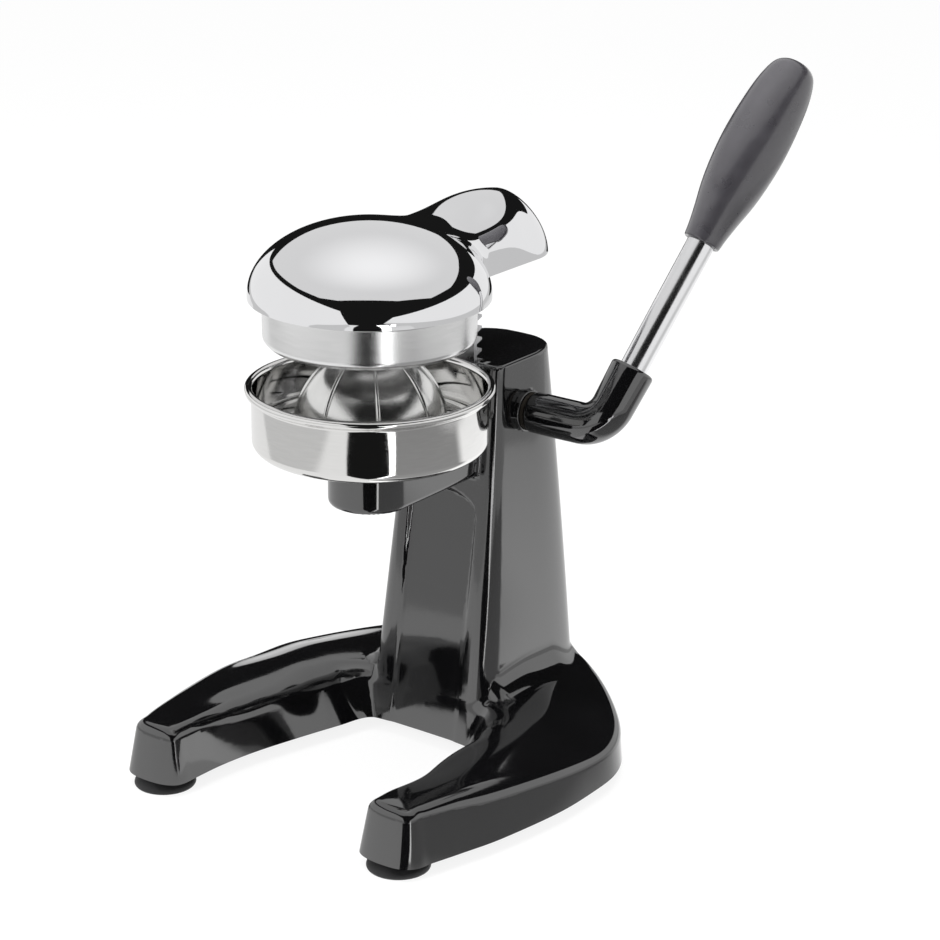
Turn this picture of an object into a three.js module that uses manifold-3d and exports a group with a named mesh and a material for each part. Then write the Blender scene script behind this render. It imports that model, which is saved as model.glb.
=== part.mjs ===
// Lever citrus juice press with a rack and pinion drive, in millimetres.
// +Z is up, -Y is the open front of the stand and +X is the side of the lever.
import * as THREE from 'three';
import { mergeVertices } from 'three/addons/utils/BufferGeometryUtils.js';
import Module from 'manifold-3d';

const wasm = await Module();
wasm.setup();

// Fits and cuts
const fitGap = 0.3; // left between pieces that touch
const slideGap = 0.4; // left round the rack in its guide
const overrun = 2; // how far a cut runs past the face that it opens
const weldTolerance = 0.03; // corners of a cut closer than this become one

// Facets round a full turn
const largeTurn = 28;
const mediumTurn = 16;
const smallTurn = 12;
const screwTurn = 8;

// Driving sizes: the rest of the press is placed from these
const shaftHeight = 158.7; // the shaft's axis over the table
const bowlRadius = 52.2;
const baseHalfWidth = 100.6;
const legReach = 79.6; // from the bowl's axis to the front of the legs

// Juice bowl with rolled rim and spout
const bowlSheet = 1.2;
const bowlBelowShaft = 0.7; // its floor's edge under the shaft's axis
const bowlBottom = shaftHeight - bowlBelowShaft;
const bowlCorner = 2.6;
const bowlConeDrop = 6;
const bowlDepth = 27.2;
const rimCentre = bowlBottom + bowlDepth;
const rimRadius = 1.8;
const rimOffset = 1; // the rolled rim's centre outside the wall
const spoutRadius = 9.6;
const spoutLength = 23.5;
const spoutBottom = bowlBottom - spoutLength;

// Gear teeth
const gearModule = 1.7;
const pinionTeeth = 18;
const pressureAngleShare = 1 / 9; // of half a turn, 20 degrees
const backlash = 0.6; // in all, along the pitch line
const rootClearance = 0.45;

// Rack and shaft, behind the bowl
const bowlClearance = 1.3; // from the bowl's rim to the wall of the rack's guide
const guideWall = 4.7;
const guideFront = bowlRadius + rimOffset + rimRadius + bowlClearance;
const guideHalfWidth = 16.5;
const rackBack = guideFront + guideWall; // the rack's plain side
const rackStock = 1.95; // metal behind the rack's teeth
const shaftBack = rackBack + rackStock + rootClearance + gearModule * (1 + pinionTeeth / 2);
const pinionWidth = 20;
const pinionHubRadius = 11;
const pinionHubLength = 6;
const rackWidth = 23;
const rackBelowShaft = 33.7;
const rackBottom = shaftHeight - rackBelowShaft;
const rackTeethBelow = 6;
const rackTeethAbove = 9;

// Stand casting: column, base with two legs, and bracket
const castWall = 5.5;
const baseUnderside = 6; // the casting's lower edge over the table
const columnAboveShaft = 24.5;
const columnTop = shaftHeight + columnAboveShaft;
const columnFrontTop = rackBack; // the column's front at its top, behind the bowl's axis
const columnFrontLean = 22.7;
const columnFrontBottom = columnFrontTop - columnFrontLean; // the same at the underside
const columnBehindShaft = 33.6;
const columnBackTop = shaftBack + columnBehindShaft;
const columnBackLean = 10.5;
const columnBackBottom = columnBackTop + columnBackLean;
const columnHalfWidthTop = 25.4;
const columnHalfWidthBottom = 35.6;
const columnCornerTop = 5.5;
const columnCornerBottom = 11;
const columnLid = 5; // thickness of the closed top
const footFlare = 12; // how far the column's sides sweep out onto the legs
const footFlareHeight = 13;
const rearLedge = 3; // the base's reach behind the column
const baseLength = legReach + columnBackBottom + rearLedge;
const tipWallTop = 25; // where the leaning wall passes into the rounded top, at a leg's tip
const legWallTop = 22.6; // the same along a leg
const sideWallTop = 19.3; // the same beside the column
const rearWallTop = 26; // the same behind the column
const tipEdgeTop = 30.4; // where the rounding passes into the crowned top
const sideEdgeTop = 21.6;
const rearEdgeTop = 29;
const innerEdgeTop = 28.4;
const tipDraft = 3.5; // how far the wall leans in
const sideDraft = 1;
const legDraft = 3.8;
const innerDraft = 4.2;
const tipRounding = 2.3; // width of the rounding
const legRounding = 6.4;
const sideRounding = 6.6;
const rearRounding = 4;
const innerRounding = 8.6;
const legCrown = 31; // top of a leg along its middle, at the tip
const footCrown = 30.4; // the same at the foot of the column
const footSweep = 6.5; // how much further the inner wall leans out beside the column
const bracketHeight = 26.3;
const bracketTop = bowlBottom;
const bracketBottom = bracketTop - bracketHeight;
const bracketHalfWidth = 19;
const bracketEdge = 2.4; // rounding of its lower edge
const spoutBore = 11.2;
const recessHalfWidth = 18.5;
const recessBelowBracket = 9.2;
const recessTop = bracketBottom - recessBelowBracket;
const recessBottom = 24;
const recessDepth = 3;

// Strainer with its pressing cone
const strainerClearance = 0.7; // between the strainer's skirt and the bowl's wall
const strainerRadius = bowlRadius - bowlSheet - strainerClearance;
const strainerSheet = 1.6;
const strainerLift = 2.1; // its lower edge over the bowl's floor edge
const strainerFloor = bowlBottom + strainerLift;
const strainerSkirt = 7.9;
const strainerRim = strainerFloor + strainerSkirt;
const strainerRimWidth = 4.6;
const coneMargin = 17.3; // from the cone's foot to the skirt
const coneRadius = strainerRadius - coneMargin;
const coneRise = 3.6; // the cone's foot over the rim
const coneFoot = strainerRim + coneRise;
const coneHeight = 32.4;
const coneTop = coneFoot + coneHeight;
const coneSheet = 3;
const slotCount = 16;
const slotWidth = 2.3;
const slotStart = 1.5; // from the cone's foot to a slot
const slotEnd = 5.8; // from a slot to the skirt
const ribCount = 8;
const ribWidth = 2;
const ribHeight = 1.3;

// Press cup
const cupMargin = 5.4; // how much narrower the cup is than the bowl
const cupRadius = bowlRadius - cupMargin;
const cupWall = 3.2;
const cupAboveCone = 2.7;
const cupBottom = coneTop + cupAboveCone;
const cupLip = 2.6; // rounding of the cup's lower edge
const cupHeight = 20.1;
const cupShoulder = cupBottom + cupHeight;
const cupDepth = 39.5;
const cupCrown = 4;
const cupBead = 0.7;
const cupBeadHeight = 1.1;

// Press head: shallow dome with its arm
const cupSeatDepth = 0.3; // how far the head comes down over the cup
const headRim = cupShoulder - cupSeatDepth; // lower edge of dome and arm
const domeMargin = 6.3; // how much wider the dome is than the cup
const domeRadius = cupRadius + domeMargin;
const domeUpright = 1.5;
const domeShoulder = headRim + domeUpright; // where the dome starts to curve in
const domeRise = 32;
const domeTop = domeShoulder + domeRise;
const headWall = 3.2;
const headEdge = 1; // rounding of the dome's lower edge
const armHalfWidth = 23.2;
const armBelowDome = 7.2;
const armTop = domeTop - armBelowDome;
const armEndBelowDome = 5.4;
const armEndTop = domeTop - armEndBelowDome;
const armBulge = 4.4; // how far the arm's back rises behind its neck
const armUpright = 10.5;
const armShoulder = headRim + armUpright; // top of the arm's upright sides
const armBehindShaft = 13.6;
const armEndCentre = shaftBack + armBehindShaft; // centre of the arm's round end
const neckFlare = 6; // how far the arm widens where it meets the dome
const neckLength = 16;
const landWidth = 3.4; // the seat for the cup inside the dome's rim
const rackInHead = 16.5;
const rackTop = headRim + rackInHead;

// Shaft with its bushes and left end
const shaftRadius = 6;
const bushWall = 1.8;
const bushFlangeRadius = 9;
const bushFlange = 1.6;
const bearingPad = 3.8; // how far a bearing pad stands out from the column's top
const bearingFace = columnHalfWidthTop + bearingPad;
const bearingPadRadius = 9.6;
const bearingBossRadius = 12;
const bearingBossLength = 11;
const washerRadius = 8.6;
const washerThickness = 1.5;
const keyPinRadius = 1.6;

// Lever
const leverOutShare = 0.178; // of its length, how much runs sideways
const leverBackShare = 0.549; // how much runs backwards at rest
const elbowReach = 39.2;
const elbowCorner = bearingFace + elbowReach; // where the lever's axis crosses the shaft's
const elbowRadius = 9.5;
const elbowSocketRadius = 10.2;
const elbowBend = 13.5;
const elbowSocketEnd = 30.4; // along the lever, from the corner
const elbowSocketDepth = 16;
const shaftReach = 25.8;
const shaftEnd = bearingFace + shaftReach;
const elbowEdge = 1.4;
const tubeRadius = 6.4;
const tubeWall = 1.5;
const gripStart = 94.7;
const gripLength = 93.3;
const gripEnd = gripStart + gripLength;
const gripRadius = 15.3;
const gripCap = 16; // from the end of the grip's bore to its tip
const gripBoreEnd = gripEnd - gripCap;

// Feet
const footRadius = 14.4;
const footNeck = 9.5;
const footFrontX = 67.1;
const footInset = 13.1; // from the front of the legs
const footFrontY = footInset - legReach;
const footRearX = 55;
const footBeforeBack = 40.5; // from the column's back
const footRearY = columnBackBottom - footBeforeBack;
const footCup = 10.4; // radius of the hollow underneath
const footBossRadius = 8;

// Screws: shank radius, head radius and head height
const footScrew = { shank: 2.4, head: 4.6, headHeight: 2.4, length: 15 };
const rackScrew = { shank: 2.4, head: 4.4, headHeight: 3, length: 14 };
const cupScrew = { shank: 2, head: 3.8, headHeight: 2.2, length: 12 };
const endScrew = { shank: 3, head: 5.6, headHeight: 3.6, length: 16 };
const grubScrew = { shank: 2.6, length: 5.5 };
const rackScrewSpacing = 12;
const rackScrewRise = 10;
const rackScrewHeight = headRim + rackScrewRise;
const cupScrewCircle = 20;
const cupScrewCount = 3;
const cupBossRadius = 5;
const screwRecessShare = 0.45; // a screw head's drive recess, of its radius and height
const columnPowerShares = [4.6, 2.6]; // how boxy the column's back is, at the foot and the top

const blackGloss = [0x131314, 0.16, 0.1];
const chrome = [0xd6d7d9, 0.08, 1];
const polishedSteel = [0xcfd0d0, 0.16, 1];
const satinAluminium = [0xc9cacb, 0.34, 1];
const castAluminium = [0xbfc1c2, 0.3, 1];
const machinedSteel = [0x9b9c9d, 0.35, 1];
const darkRubber = [0x1b1b1c, 0.8, 0];
const greyGrip = [0x5f5d62, 0.45, 0];
const bronze = [0x9c7a4a, 0.4, 0.9];

const AXIS_X = new THREE.Vector3(1, 0, 0);
const AXIS_Y = new THREE.Vector3(0, 1, 0);
const AXIS_Z = new THREE.Vector3(0, 0, 1);

const mix = (a, b, share) => a + (b - a) * share;

// A closed mesh as a solid, with shared corners merged and its faces turned out
function toSolid(geometry) {
  const bare = new THREE.BufferGeometry();
  bare.setAttribute('position', geometry.getAttribute('position'));
  bare.setIndex(geometry.getIndex());
  const merged = mergeVertices(bare);
  const place = merged.getAttribute('position');
  const index = merged.getIndex().array;
  const faces = [];
  const [a, b, c] = [new THREE.Vector3(), new THREE.Vector3(), new THREE.Vector3()];
  let volume = 0;
  for (let i = 0; i < index.length; i += 3) {
    const [p, q, r] = [index[i], index[i + 1], index[i + 2]];
    if (p === q || q === r || r === p) continue;
    faces.push([p, q, r]);
    a.fromBufferAttribute(place, p);
    b.fromBufferAttribute(place, q);
    c.fromBufferAttribute(place, r);
    volume += a.dot(b.cross(c));
  }
  if (volume < 0) faces.forEach((face) => face.reverse());
  const triVerts = new Uint32Array(faces.flat());
  return new wasm.Manifold(new wasm.Mesh({ numProp: 3, vertProperties: place.array, triVerts }));
}

// A solid as a geometry to draw, without the slivers that cuts leave
function toGeometry(solid) {
  const mesh = solid.simplify(weldTolerance).getMesh();
  const geometry = new THREE.BufferGeometry();
  geometry.setAttribute('position', new THREE.BufferAttribute(mesh.vertProperties, mesh.numProp));
  geometry.setIndex(new THREE.BufferAttribute(mesh.triVerts, 1));
  const flat = geometry.toNonIndexed();
  flat.computeVertexNormals();
  return flat;
}

// A profile of [radius, height] points turned round the Z axis, moved to a place and axis
function turned(profile, turn, place = new THREE.Vector3(), axis = AXIS_Z) {
  const points = profile.map(([radius, height]) => new THREE.Vector2(radius, height));
  const geometry = new THREE.LatheGeometry(points, turn);
  geometry.rotateX(Math.PI / 2);
  geometry.applyQuaternion(new THREE.Quaternion().setFromUnitVectors(AXIS_Z, axis));
  geometry.translate(place.x, place.y, place.z);
  return toSolid(geometry);
}

// A plain round rod between two heights on an axis
function rod(radius, from, to, turn, place, axis) {
  return turned([[0, from], [radius, from], [radius, to], [0, to]], turn, place, axis);
}

// A block between two corners
function block(low, high) {
  const size = high.clone().sub(low);
  const geometry = new THREE.BoxGeometry(size.x, size.y, size.z);
  geometry.translate((low.x + high.x) / 2, (low.y + high.y) / 2, (low.z + high.z) / 2);
  return toSolid(geometry);
}

// A skin through closed rings of equal counts, capped at its first and last ring
function loft(rings, flatten = (p) => new THREE.Vector2(p.x, p.y)) {
  const count = rings[0].length;
  const positions = rings.flat().flatMap((p) => [p.x, p.y, p.z]);
  const index = [];
  for (let k = 0; k + 1 < rings.length; k += 1) {
    for (let i = 0; i < count; i += 1) {
      const j = (i + 1) % count;
      const [a, b, c, d] = [k * count + i, k * count + j, (k + 1) * count + j, (k + 1) * count + i];
      index.push(a, b, c, a, c, d);
    }
  }
  const cap = (ring, start, flip) => {
    const contour = ring.map(flatten);
    if (Math.abs(THREE.ShapeUtils.area(contour)) < fitGap * fitGap) return;
    const turnedOver = THREE.ShapeUtils.area(contour) < 0;
    for (const [a, b, c] of THREE.ShapeUtils.triangulateShape(contour, [])) {
      const face = [start + a, start + b, start + c];
      index.push(...(flip !== turnedOver ? face.reverse() : face));
    }
  };
  const up = THREE.ShapeUtils.area(rings[0].map(flatten)) > 0;
  cap(rings[0], 0, true);
  cap(rings.at(-1), (rings.length - 1) * count, false);
  const geometry = new THREE.BufferGeometry();
  geometry.setAttribute('position', new THREE.Float32BufferAttribute(positions, 3));
  geometry.setIndex(up ? index : index.reverse());
  return toSolid(geometry);
}

// An outline in the Y and Z directions, extruded along X
function extrudedAcross(outline, from, to) {
  const shape = new THREE.Shape(outline.map(([y, z]) => new THREE.Vector2(y, z)));
  const geometry = new THREE.ExtrudeGeometry(shape, { depth: to - from, bevelEnabled: false });
  geometry.applyMatrix4(new THREE.Matrix4().makeBasis(AXIS_Y, AXIS_Z, AXIS_X));
  geometry.translate(from, 0, 0);
  return toSolid(geometry);
}

function named(name, solid, [color, roughness, metalness]) {
  const material = new THREE.MeshStandardMaterial({ color, roughness, metalness });
  const mesh = new THREE.Mesh(toGeometry(solid), material);
  mesh.name = name;
  return mesh;
}

// Plan of the base. Each row of the tables is one station from the rear to the tip of a leg:
// sideways as a share of the half width, and along as a share of the length from the front.
const outerPlanShares = [
  [0, 1], [0.278, 0.973], [0.517, 0.908], [0.736, 0.821], [0.895, 0.732], [0.98, 0.64],
  [1, 0.529], [0.994, 0.408], [0.942, 0.244], [0.89, 0.148], [0.837, 0.061],
];
const innerPlanShares = [
  [0, 0.568], [0.1, 0.567], [0.199, 0.5645], [0.278, 0.556], [0.313, 0.529], [0.336, 0.483],
  [0.373, 0.423], [0.4125, 0.355], [0.465, 0.254], [0.495, 0.157], [0.502, 0.0657],
];
const tipPlanShares = [
  [0.828, 0.036], [0.8, 0.016], [0.755, 0.004], [0.7, 0], [0.63, 0], [0.565, 0.006],
  [0.52, 0.02], [0.503, 0.04],
];

function planPoint([sideShare, alongShare]) {
  return new THREE.Vector2(sideShare * baseHalfWidth, alongShare * baseLength - legReach);
}

// Stations round the closed plan of the base: the outline, the middle line of the strip that
// each point belongs to, how much it belongs to the outer wall, and how near it is to the column
function baseStations() {
  const steps = 1.2 * (outerPlanShares.length - 1);
  const outer = new THREE.SplineCurve(outerPlanShares.map(planPoint)).getPoints(steps);
  const inner = new THREE.SplineCurve(innerPlanShares.map(planPoint)).getPoints(steps);
  const right = [];
  outer.forEach((p, i) => {
    right.push({ p, middle: p.clone().lerp(inner[i], 0.5), outerShare: 1, columnShare: 1 - i / steps });
  });
  const tipMiddle = outer[steps].clone().lerp(inner[steps], 0.5);
  tipPlanShares.forEach((shares, i) => {
    const outerShare = 1 - (i + 1) / (tipPlanShares.length + 1);
    right.push({ p: planPoint(shares), middle: tipMiddle, outerShare, columnShare: 0 });
  });
  for (let i = steps; i >= 0; i -= 1) {
    const middle = inner[i].clone().lerp(outer[i], 0.5);
    right.push({ p: inner[i], middle, outerShare: 0, columnShare: 1 - i / steps });
  }
  const mirror = (v) => new THREE.Vector2(-v.x, v.y);
  const left = right.slice(1, -1).reverse();
  return [...right, ...left.map((s) => ({ ...s, p: mirror(s.p), middle: mirror(s.middle) }))];
}

// The base as rings over its plan, or the hollow inside its walls when inset is over zero
function baseBody(inset) {
  const stations = baseStations();
  const count = stations.length;
  const bottom = inset > 0 ? baseUnderside - overrun : baseUnderside;
  const inward = stations.map((s, i) => {
    const before = stations[(i + count - 1) % count].p;
    const after = stations[(i + 1) % count].p;
    const along = after.clone().sub(before).normalize();
    return new THREE.Vector2(along.y, -along.x);
  });
  const ringAt = (offsetOf, heightOf) => stations.map((s, i) => {
    const p = s.p.clone().addScaledVector(inward[i], offsetOf(s) + inset);
    return new THREE.Vector3(p.x, p.y, heightOf(s) - inset);
  });
  const smooth = THREE.MathUtils.smoothstep;
  const tip = (s) => 1 - smooth(s.columnShare, 0, 0.2);
  const side = (s) => smooth(s.columnShare, 0.12, 0.47);
  const rear = (s) => smooth(s.columnShare, 0.55, 0.92);
  const level = (s, tipSize, legSize, sideSize, rearSize, innerSize) => {
    const outer = mix(mix(mix(legSize, tipSize, tip(s)), sideSize, side(s)), rearSize, rear(s));
    return mix(mix(innerSize, tipSize, tip(s)), outer, s.outerShare);
  };
  const crown = (s) => mix(legCrown, footCrown, Math.min(1, 2 * s.columnShare));
  const sweep = (s) => footSweep * (1 - s.outerShare)
    * smooth(s.columnShare, 0.2, 0.45) * (1 - smooth(s.columnShare, 0.55, 0.75));
  const draft = (s) => sweep(s) + level(s, tipDraft, legDraft, sideDraft, sideDraft, innerDraft);
  const rounding = (s) => level(s, tipRounding, legRounding, sideRounding, rearRounding, innerRounding);
  const wallTop = (s) => level(s, tipWallTop, legWallTop, sideWallTop, rearWallTop, legWallTop);
  const edgeTop = (s) => level(s, tipEdgeTop, tipEdgeTop, sideEdgeTop, rearEdgeTop, innerEdgeTop);
  const edge = ringAt((s) => draft(s) + rounding(s), edgeTop);
  const middle = stations.map((s) => new THREE.Vector3(s.middle.x, s.middle.y, crown(s) - inset));
  return loft([
    ringAt(() => 0, () => bottom + inset),
    ringAt(draft, wallTop),
    ringAt((s) => draft(s) + rounding(s) * 0.37, (s) => mix(wallTop(s), edgeTop(s), 0.68)),
    edge,
    middle,
  ]);
}

// One level of the column's section: a flat front with round corners and a full round back
function columnSection(height, halfWidth, front, back, corner, spread, roundness) {
  const points = [];
  const cornerSteps = 3;
  const sideSteps = 3;
  const backSteps = 6;
  const sideBack = mix(front, back, 0.45);
  points.push([0, front]);
  for (let i = 0; i <= cornerSteps; i += 1) {
    const angle = (Math.PI / 2) * (i / cornerSteps);
    points.push([
      halfWidth - corner + corner * Math.sin(angle),
      front + corner - corner * Math.cos(angle),
    ]);
  }
  for (let i = 1; i < sideSteps; i += 1) {
    const share = i / sideSteps;
    points.push([
      halfWidth + spread * Math.sin((Math.PI / 2) * share),
      mix(front + corner, sideBack, share),
    ]);
  }
  for (let i = 0; i <= backSteps; i += 1) {
    const angle = (Math.PI / 2) * (i / backSteps);
    points.push([
      halfWidth * Math.cos(angle) ** (2 / roundness) + spread * Math.cos(Math.min(Math.PI / 2, 3 * angle)),
      sideBack + (back - sideBack) * Math.sin(angle) ** (2 / roundness),
    ]);
  }
  const left = points.slice(1, -1).reverse().map(([x, y]) => [-x, y]);
  return [...points, ...left].map(([x, y]) => new THREE.Vector3(x, y, height));
}

const columnShareAt = (height) => (height - baseUnderside) / (columnTop - baseUnderside);
const columnFrontAt = (height) => mix(columnFrontBottom, columnFrontTop, columnShareAt(height));

// The column between two heights, set in by a wall and spread at its foot
function columnBody(levels, inset) {
  return loft(levels.map(([height, spread]) => {
    const share = Math.max(0, columnShareAt(height));
    const halfWidth = mix(columnHalfWidthBottom, columnHalfWidthTop, share);
    const back = mix(columnBackBottom, columnBackTop, share ** 1.6);
    const corner = mix(columnCornerBottom, columnCornerTop, share);
    return columnSection(
      height,
      halfWidth - inset,
      columnFrontAt(height) + inset,
      back - inset,
      Math.max(corner - inset, corner / 3),
      spread,
      mix(...columnPowerShares, share ** 0.8),
    );
  }));
}

// The recess in the column's front, with an arched top
function recessCutter() {
  const outline = [];
  const archSteps = 8;
  const archHeight = recessHalfWidth / 2;
  outline.push([-recessHalfWidth * 1.15, recessBottom], [recessHalfWidth * 1.15, recessBottom]);
  for (let i = 0; i <= archSteps; i += 1) {
    const angle = Math.PI * (i / archSteps);
    outline.push([
      recessHalfWidth * Math.cos(angle),
      recessTop - archHeight + archHeight * Math.sin(angle),
    ]);
  }
  const level = (depth, grow) => outline.map(([x, z]) => {
    const share = depth > 0 ? Math.min(1, (z - recessBottom) / (recessTop - recessBottom) + 0.2) : 1;
    const front = columnFrontAt(z) + depth * (z === recessBottom ? 0.1 : share);
    const middle = (recessTop + recessBottom) / 2;
    return new THREE.Vector3(x * grow, front, middle + (z - middle) * grow);
  });
  const flatten = (p) => new THREE.Vector2(p.x, p.z);
  return loft([level(-overrun, 1.12), level(recessDepth, 1)], flatten);
}

// The bracket's outline: a half round nose on the bowl's axis and two straight sides
function bracketBody() {
  const noseSteps = 16;
  const back = columnFrontAt(bracketTop) + castWall / 4;
  const levelAt = (height, offset) => {
    const ring = [];
    for (let i = 0; i <= noseSteps; i += 1) {
      const angle = Math.PI * (i / noseSteps);
      const radius = bracketHalfWidth - offset;
      ring.push(new THREE.Vector3(-radius * Math.cos(angle), -radius * Math.sin(angle), height));
    }
    ring.push(new THREE.Vector3(bracketHalfWidth - offset, back, height));
    ring.push(new THREE.Vector3(offset - bracketHalfWidth, back, height));
    return ring;
  };
  return loft([
    levelAt(bracketBottom, bracketEdge),
    levelAt(bracketBottom + bracketEdge * 0.3, bracketEdge * 0.3),
    levelAt(bracketBottom + bracketEdge, 0),
    levelAt(bracketTop, 0),
  ]);
}

// The bowl's outer and inner profile, from the spout up to the rolled rim
function bowlProfile(grow) {
  const coneInner = spoutRadius * 1.8;
  const outer = [
    [spoutRadius + grow, spoutBottom - grow],
    [spoutRadius + grow, bowlBottom - bowlConeDrop - spoutRadius * 0.5 - grow],
    [spoutRadius * 1.25 + grow, bowlBottom - bowlConeDrop - spoutRadius * 0.15 - grow],
    [coneInner, bowlBottom - bowlConeDrop - grow],
    [bowlRadius - bowlCorner, bowlBottom - grow],
    [bowlRadius - bowlCorner * 0.3 + grow, bowlBottom + bowlCorner * 0.3 - grow],
    [bowlRadius + grow, bowlBottom + bowlCorner],
  ];
  return outer;
}

function juiceBowl() {
  const profile = bowlProfile(0);
  const rimOuter = bowlRadius + rimOffset;
  const rimSteps = 6;
  for (let i = 0; i <= rimSteps; i += 1) {
    const angle = mix(-0.62 * Math.PI, 0.9 * Math.PI, i / rimSteps);
    profile.push([rimOuter + rimRadius * Math.cos(angle), rimCentre + rimRadius * Math.sin(angle)]);
  }
  const coneInner = spoutRadius * 1.8;
  profile.push(
    [bowlRadius - bowlSheet, rimCentre - rimRadius],
    [bowlRadius - bowlSheet, bowlBottom + bowlCorner],
    [bowlRadius - bowlCorner * 0.3 - bowlSheet, bowlBottom + bowlCorner * 0.3 + bowlSheet],
    [bowlRadius - bowlCorner, bowlBottom + bowlSheet],
    [coneInner, bowlBottom - bowlConeDrop + bowlSheet],
    [spoutRadius * 1.25 - bowlSheet, bowlBottom - bowlConeDrop - spoutRadius * 0.15 + bowlSheet],
    [spoutRadius - bowlSheet, bowlBottom - bowlConeDrop - spoutRadius * 0.5],
    [spoutRadius - bowlSheet, spoutBottom],
    [spoutRadius, spoutBottom],
  );
  return turned(profile, largeTurn);
}

// Room for the bowl's underside in the bracket
function bowlSeatCutter() {
  const profile = bowlProfile(fitGap);
  profile[0] = [spoutBore, bracketBottom - overrun];
  profile[1] = [spoutBore, bowlBottom - bowlConeDrop - spoutRadius * 0.5 - fitGap];
  profile.unshift([0, bracketBottom - overrun]);
  profile.push([bowlRadius + overrun, bracketTop + bowlCorner], [0, bracketTop + bowlCorner]);
  return turned(profile, largeTurn);
}

const footPlaces = [
  ['front_left', -footFrontX, footFrontY],
  ['front_right', footFrontX, footFrontY],
  ['rear_left', -footRearX, footRearY],
  ['rear_right', footRearX, footRearY],
];

function standCasting() {
  const flareSteps = 5;
  const levels = [[baseUnderside, 0], [sideWallTop, 0]];
  for (let i = 0; i <= flareSteps; i += 1) {
    const angle = (Math.PI / 2) * (i / flareSteps);
    const height = footCrown + footFlareHeight * Math.sin(angle) - fitGap;
    levels.push([height, footFlare * (1 - Math.cos(Math.PI / 2 - angle))]);
  }
  levels.push([recessTop, 0], [bracketTop, 0], [columnTop, 0]);
  levels.sort((a, b) => a[0] - b[0]);
  const solidLevels = levels.filter(([height], i) => i === 0 || height > levels[i - 1][0]);
  const middle = new THREE.Vector3(0, 0, 0);
  const shaftPlace = new THREE.Vector3(0, shaftBack, shaftHeight);
  const base = baseBody(0);
  let body = base.add(columnBody(solidLevels, 0));
  const hollowLevels = [[baseUnderside - overrun, 0], [bracketBottom, 0], [columnTop - columnLid, 0]];
  body = body.subtract(baseBody(castWall)).subtract(columnBody(hollowLevels, castWall));
  body = body.subtract(recessCutter());
  body = body.add(bracketBody()).subtract(bowlSeatCutter());

  // Wall in front of the rack and the slot that the rack runs in
  const guideLow = mix(bracketBottom, bracketTop, 0.5);
  body = body.add(block(
    new THREE.Vector3(-guideHalfWidth, guideFront, guideLow),
    new THREE.Vector3(guideHalfWidth, columnFrontAt(guideLow) + castWall, columnTop),
  ).subtract(columnBody(hollowLevels, castWall)));
  const rackTips = shaftBack - pinionPitchRadius() + gearModule;
  body = body.subtract(block(
    new THREE.Vector3(-rackWidth / 2 - slideGap, rackBack - slideGap, bracketBottom),
    new THREE.Vector3(rackWidth / 2 + slideGap, rackTips + slideGap, columnTop + overrun),
  ));

  // Bearing pads outside, bosses inside and the bores for the bushes
  const bushOuter = shaftRadius + fitGap + bushWall;
  for (const side of [-1, 1]) {
    const outer = side * bearingFace;
    const inner = side * (bearingFace - bearingBossLength);
    body = body.add(rod(bearingPadRadius, inner, outer, mediumTurn, shaftPlace, AXIS_X));
    const wallAt = side * (columnHalfWidthTop - castWall / 2);
    body = body.add(rod(bearingBossRadius, inner, wallAt, mediumTurn, shaftPlace, AXIS_X));
    const bore = rod(bushOuter + fitGap, inner - side * overrun, outer + side * overrun,
      smallTurn, shaftPlace, AXIS_X);
    body = body.subtract(bore);
  }

  // Screw bosses over the feet
  for (const [, x, y] of footPlaces) {
    const place = middle.clone().set(x, y, 0);
    const boss = rod(footBossRadius, baseUnderside, footCrown, smallTurn, place);
    body = body.add(boss.intersect(base));
    const depth = baseUnderside + footScrew.length;
    body = body.subtract(rod(footScrew.shank + fitGap, baseUnderside - overrun, depth, smallTurn, place));
  }
  return body;
}

// Rubber suction foot, hollow underneath, with a neck against the casting
function suctionFoot() {
  const top = baseUnderside - fitGap;
  const rim = footRadius;
  return turned([
    [footScrew.shank + fitGap, top],
    [footScrew.shank + fitGap, top * 0.68],
    [footScrew.head + fitGap, top * 0.68],
    [footScrew.head + fitGap, top * 0.3],
    [footCup, 0],
    [rim * 0.96, 0],
    [rim * 0.98, top * 0.4],
    [footNeck * 1.15, top * 0.8],
    [footNeck, top],
    [footScrew.shank + fitGap, top],
  ], smallTurn);
}

// A screw with its head under z = 0 and its shank upwards, with a socket in the head
function screwBody(screw) {
  const recess = screw.head * screwRecessShare;
  const depth = screw.headHeight * screwRecessShare;
  return turned([
    [0, -screw.headHeight + depth],
    [recess, -screw.headHeight + depth],
    [recess, -screw.headHeight],
    [screw.head * 0.8, -screw.headHeight],
    [screw.head, -screw.headHeight * 0.55],
    [screw.head, 0],
    [screw.shank, 0],
    [screw.shank, screw.length],
    [0, screw.length],
  ], screwTurn);
}

// Strainer: a rim and skirt, a slotted slope and a ribbed pressing cone in one casting
function strainerProfile(offset) {
  const rise = coneTop - coneFoot;
  const points = [[strainerRadius - strainerRimWidth, strainerRim - offset]];
  points.push([coneRadius * 1.12, mix(strainerRim, coneFoot, 0.6) - offset]);
  const steps = 5;
  for (let i = 0; i <= steps; i += 1) {
    const share = i / steps;
    const radius = coneRadius * Math.cos((Math.PI / 2) * share);
    const height = coneFoot + rise * Math.sin((Math.PI / 2) * share) ** 1.25;
    points.push([Math.max(radius - offset * (1 - share), 0), height - offset * share ** 0.5]);
  }
  points.at(-1)[0] = 0;
  return points;
}

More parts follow.
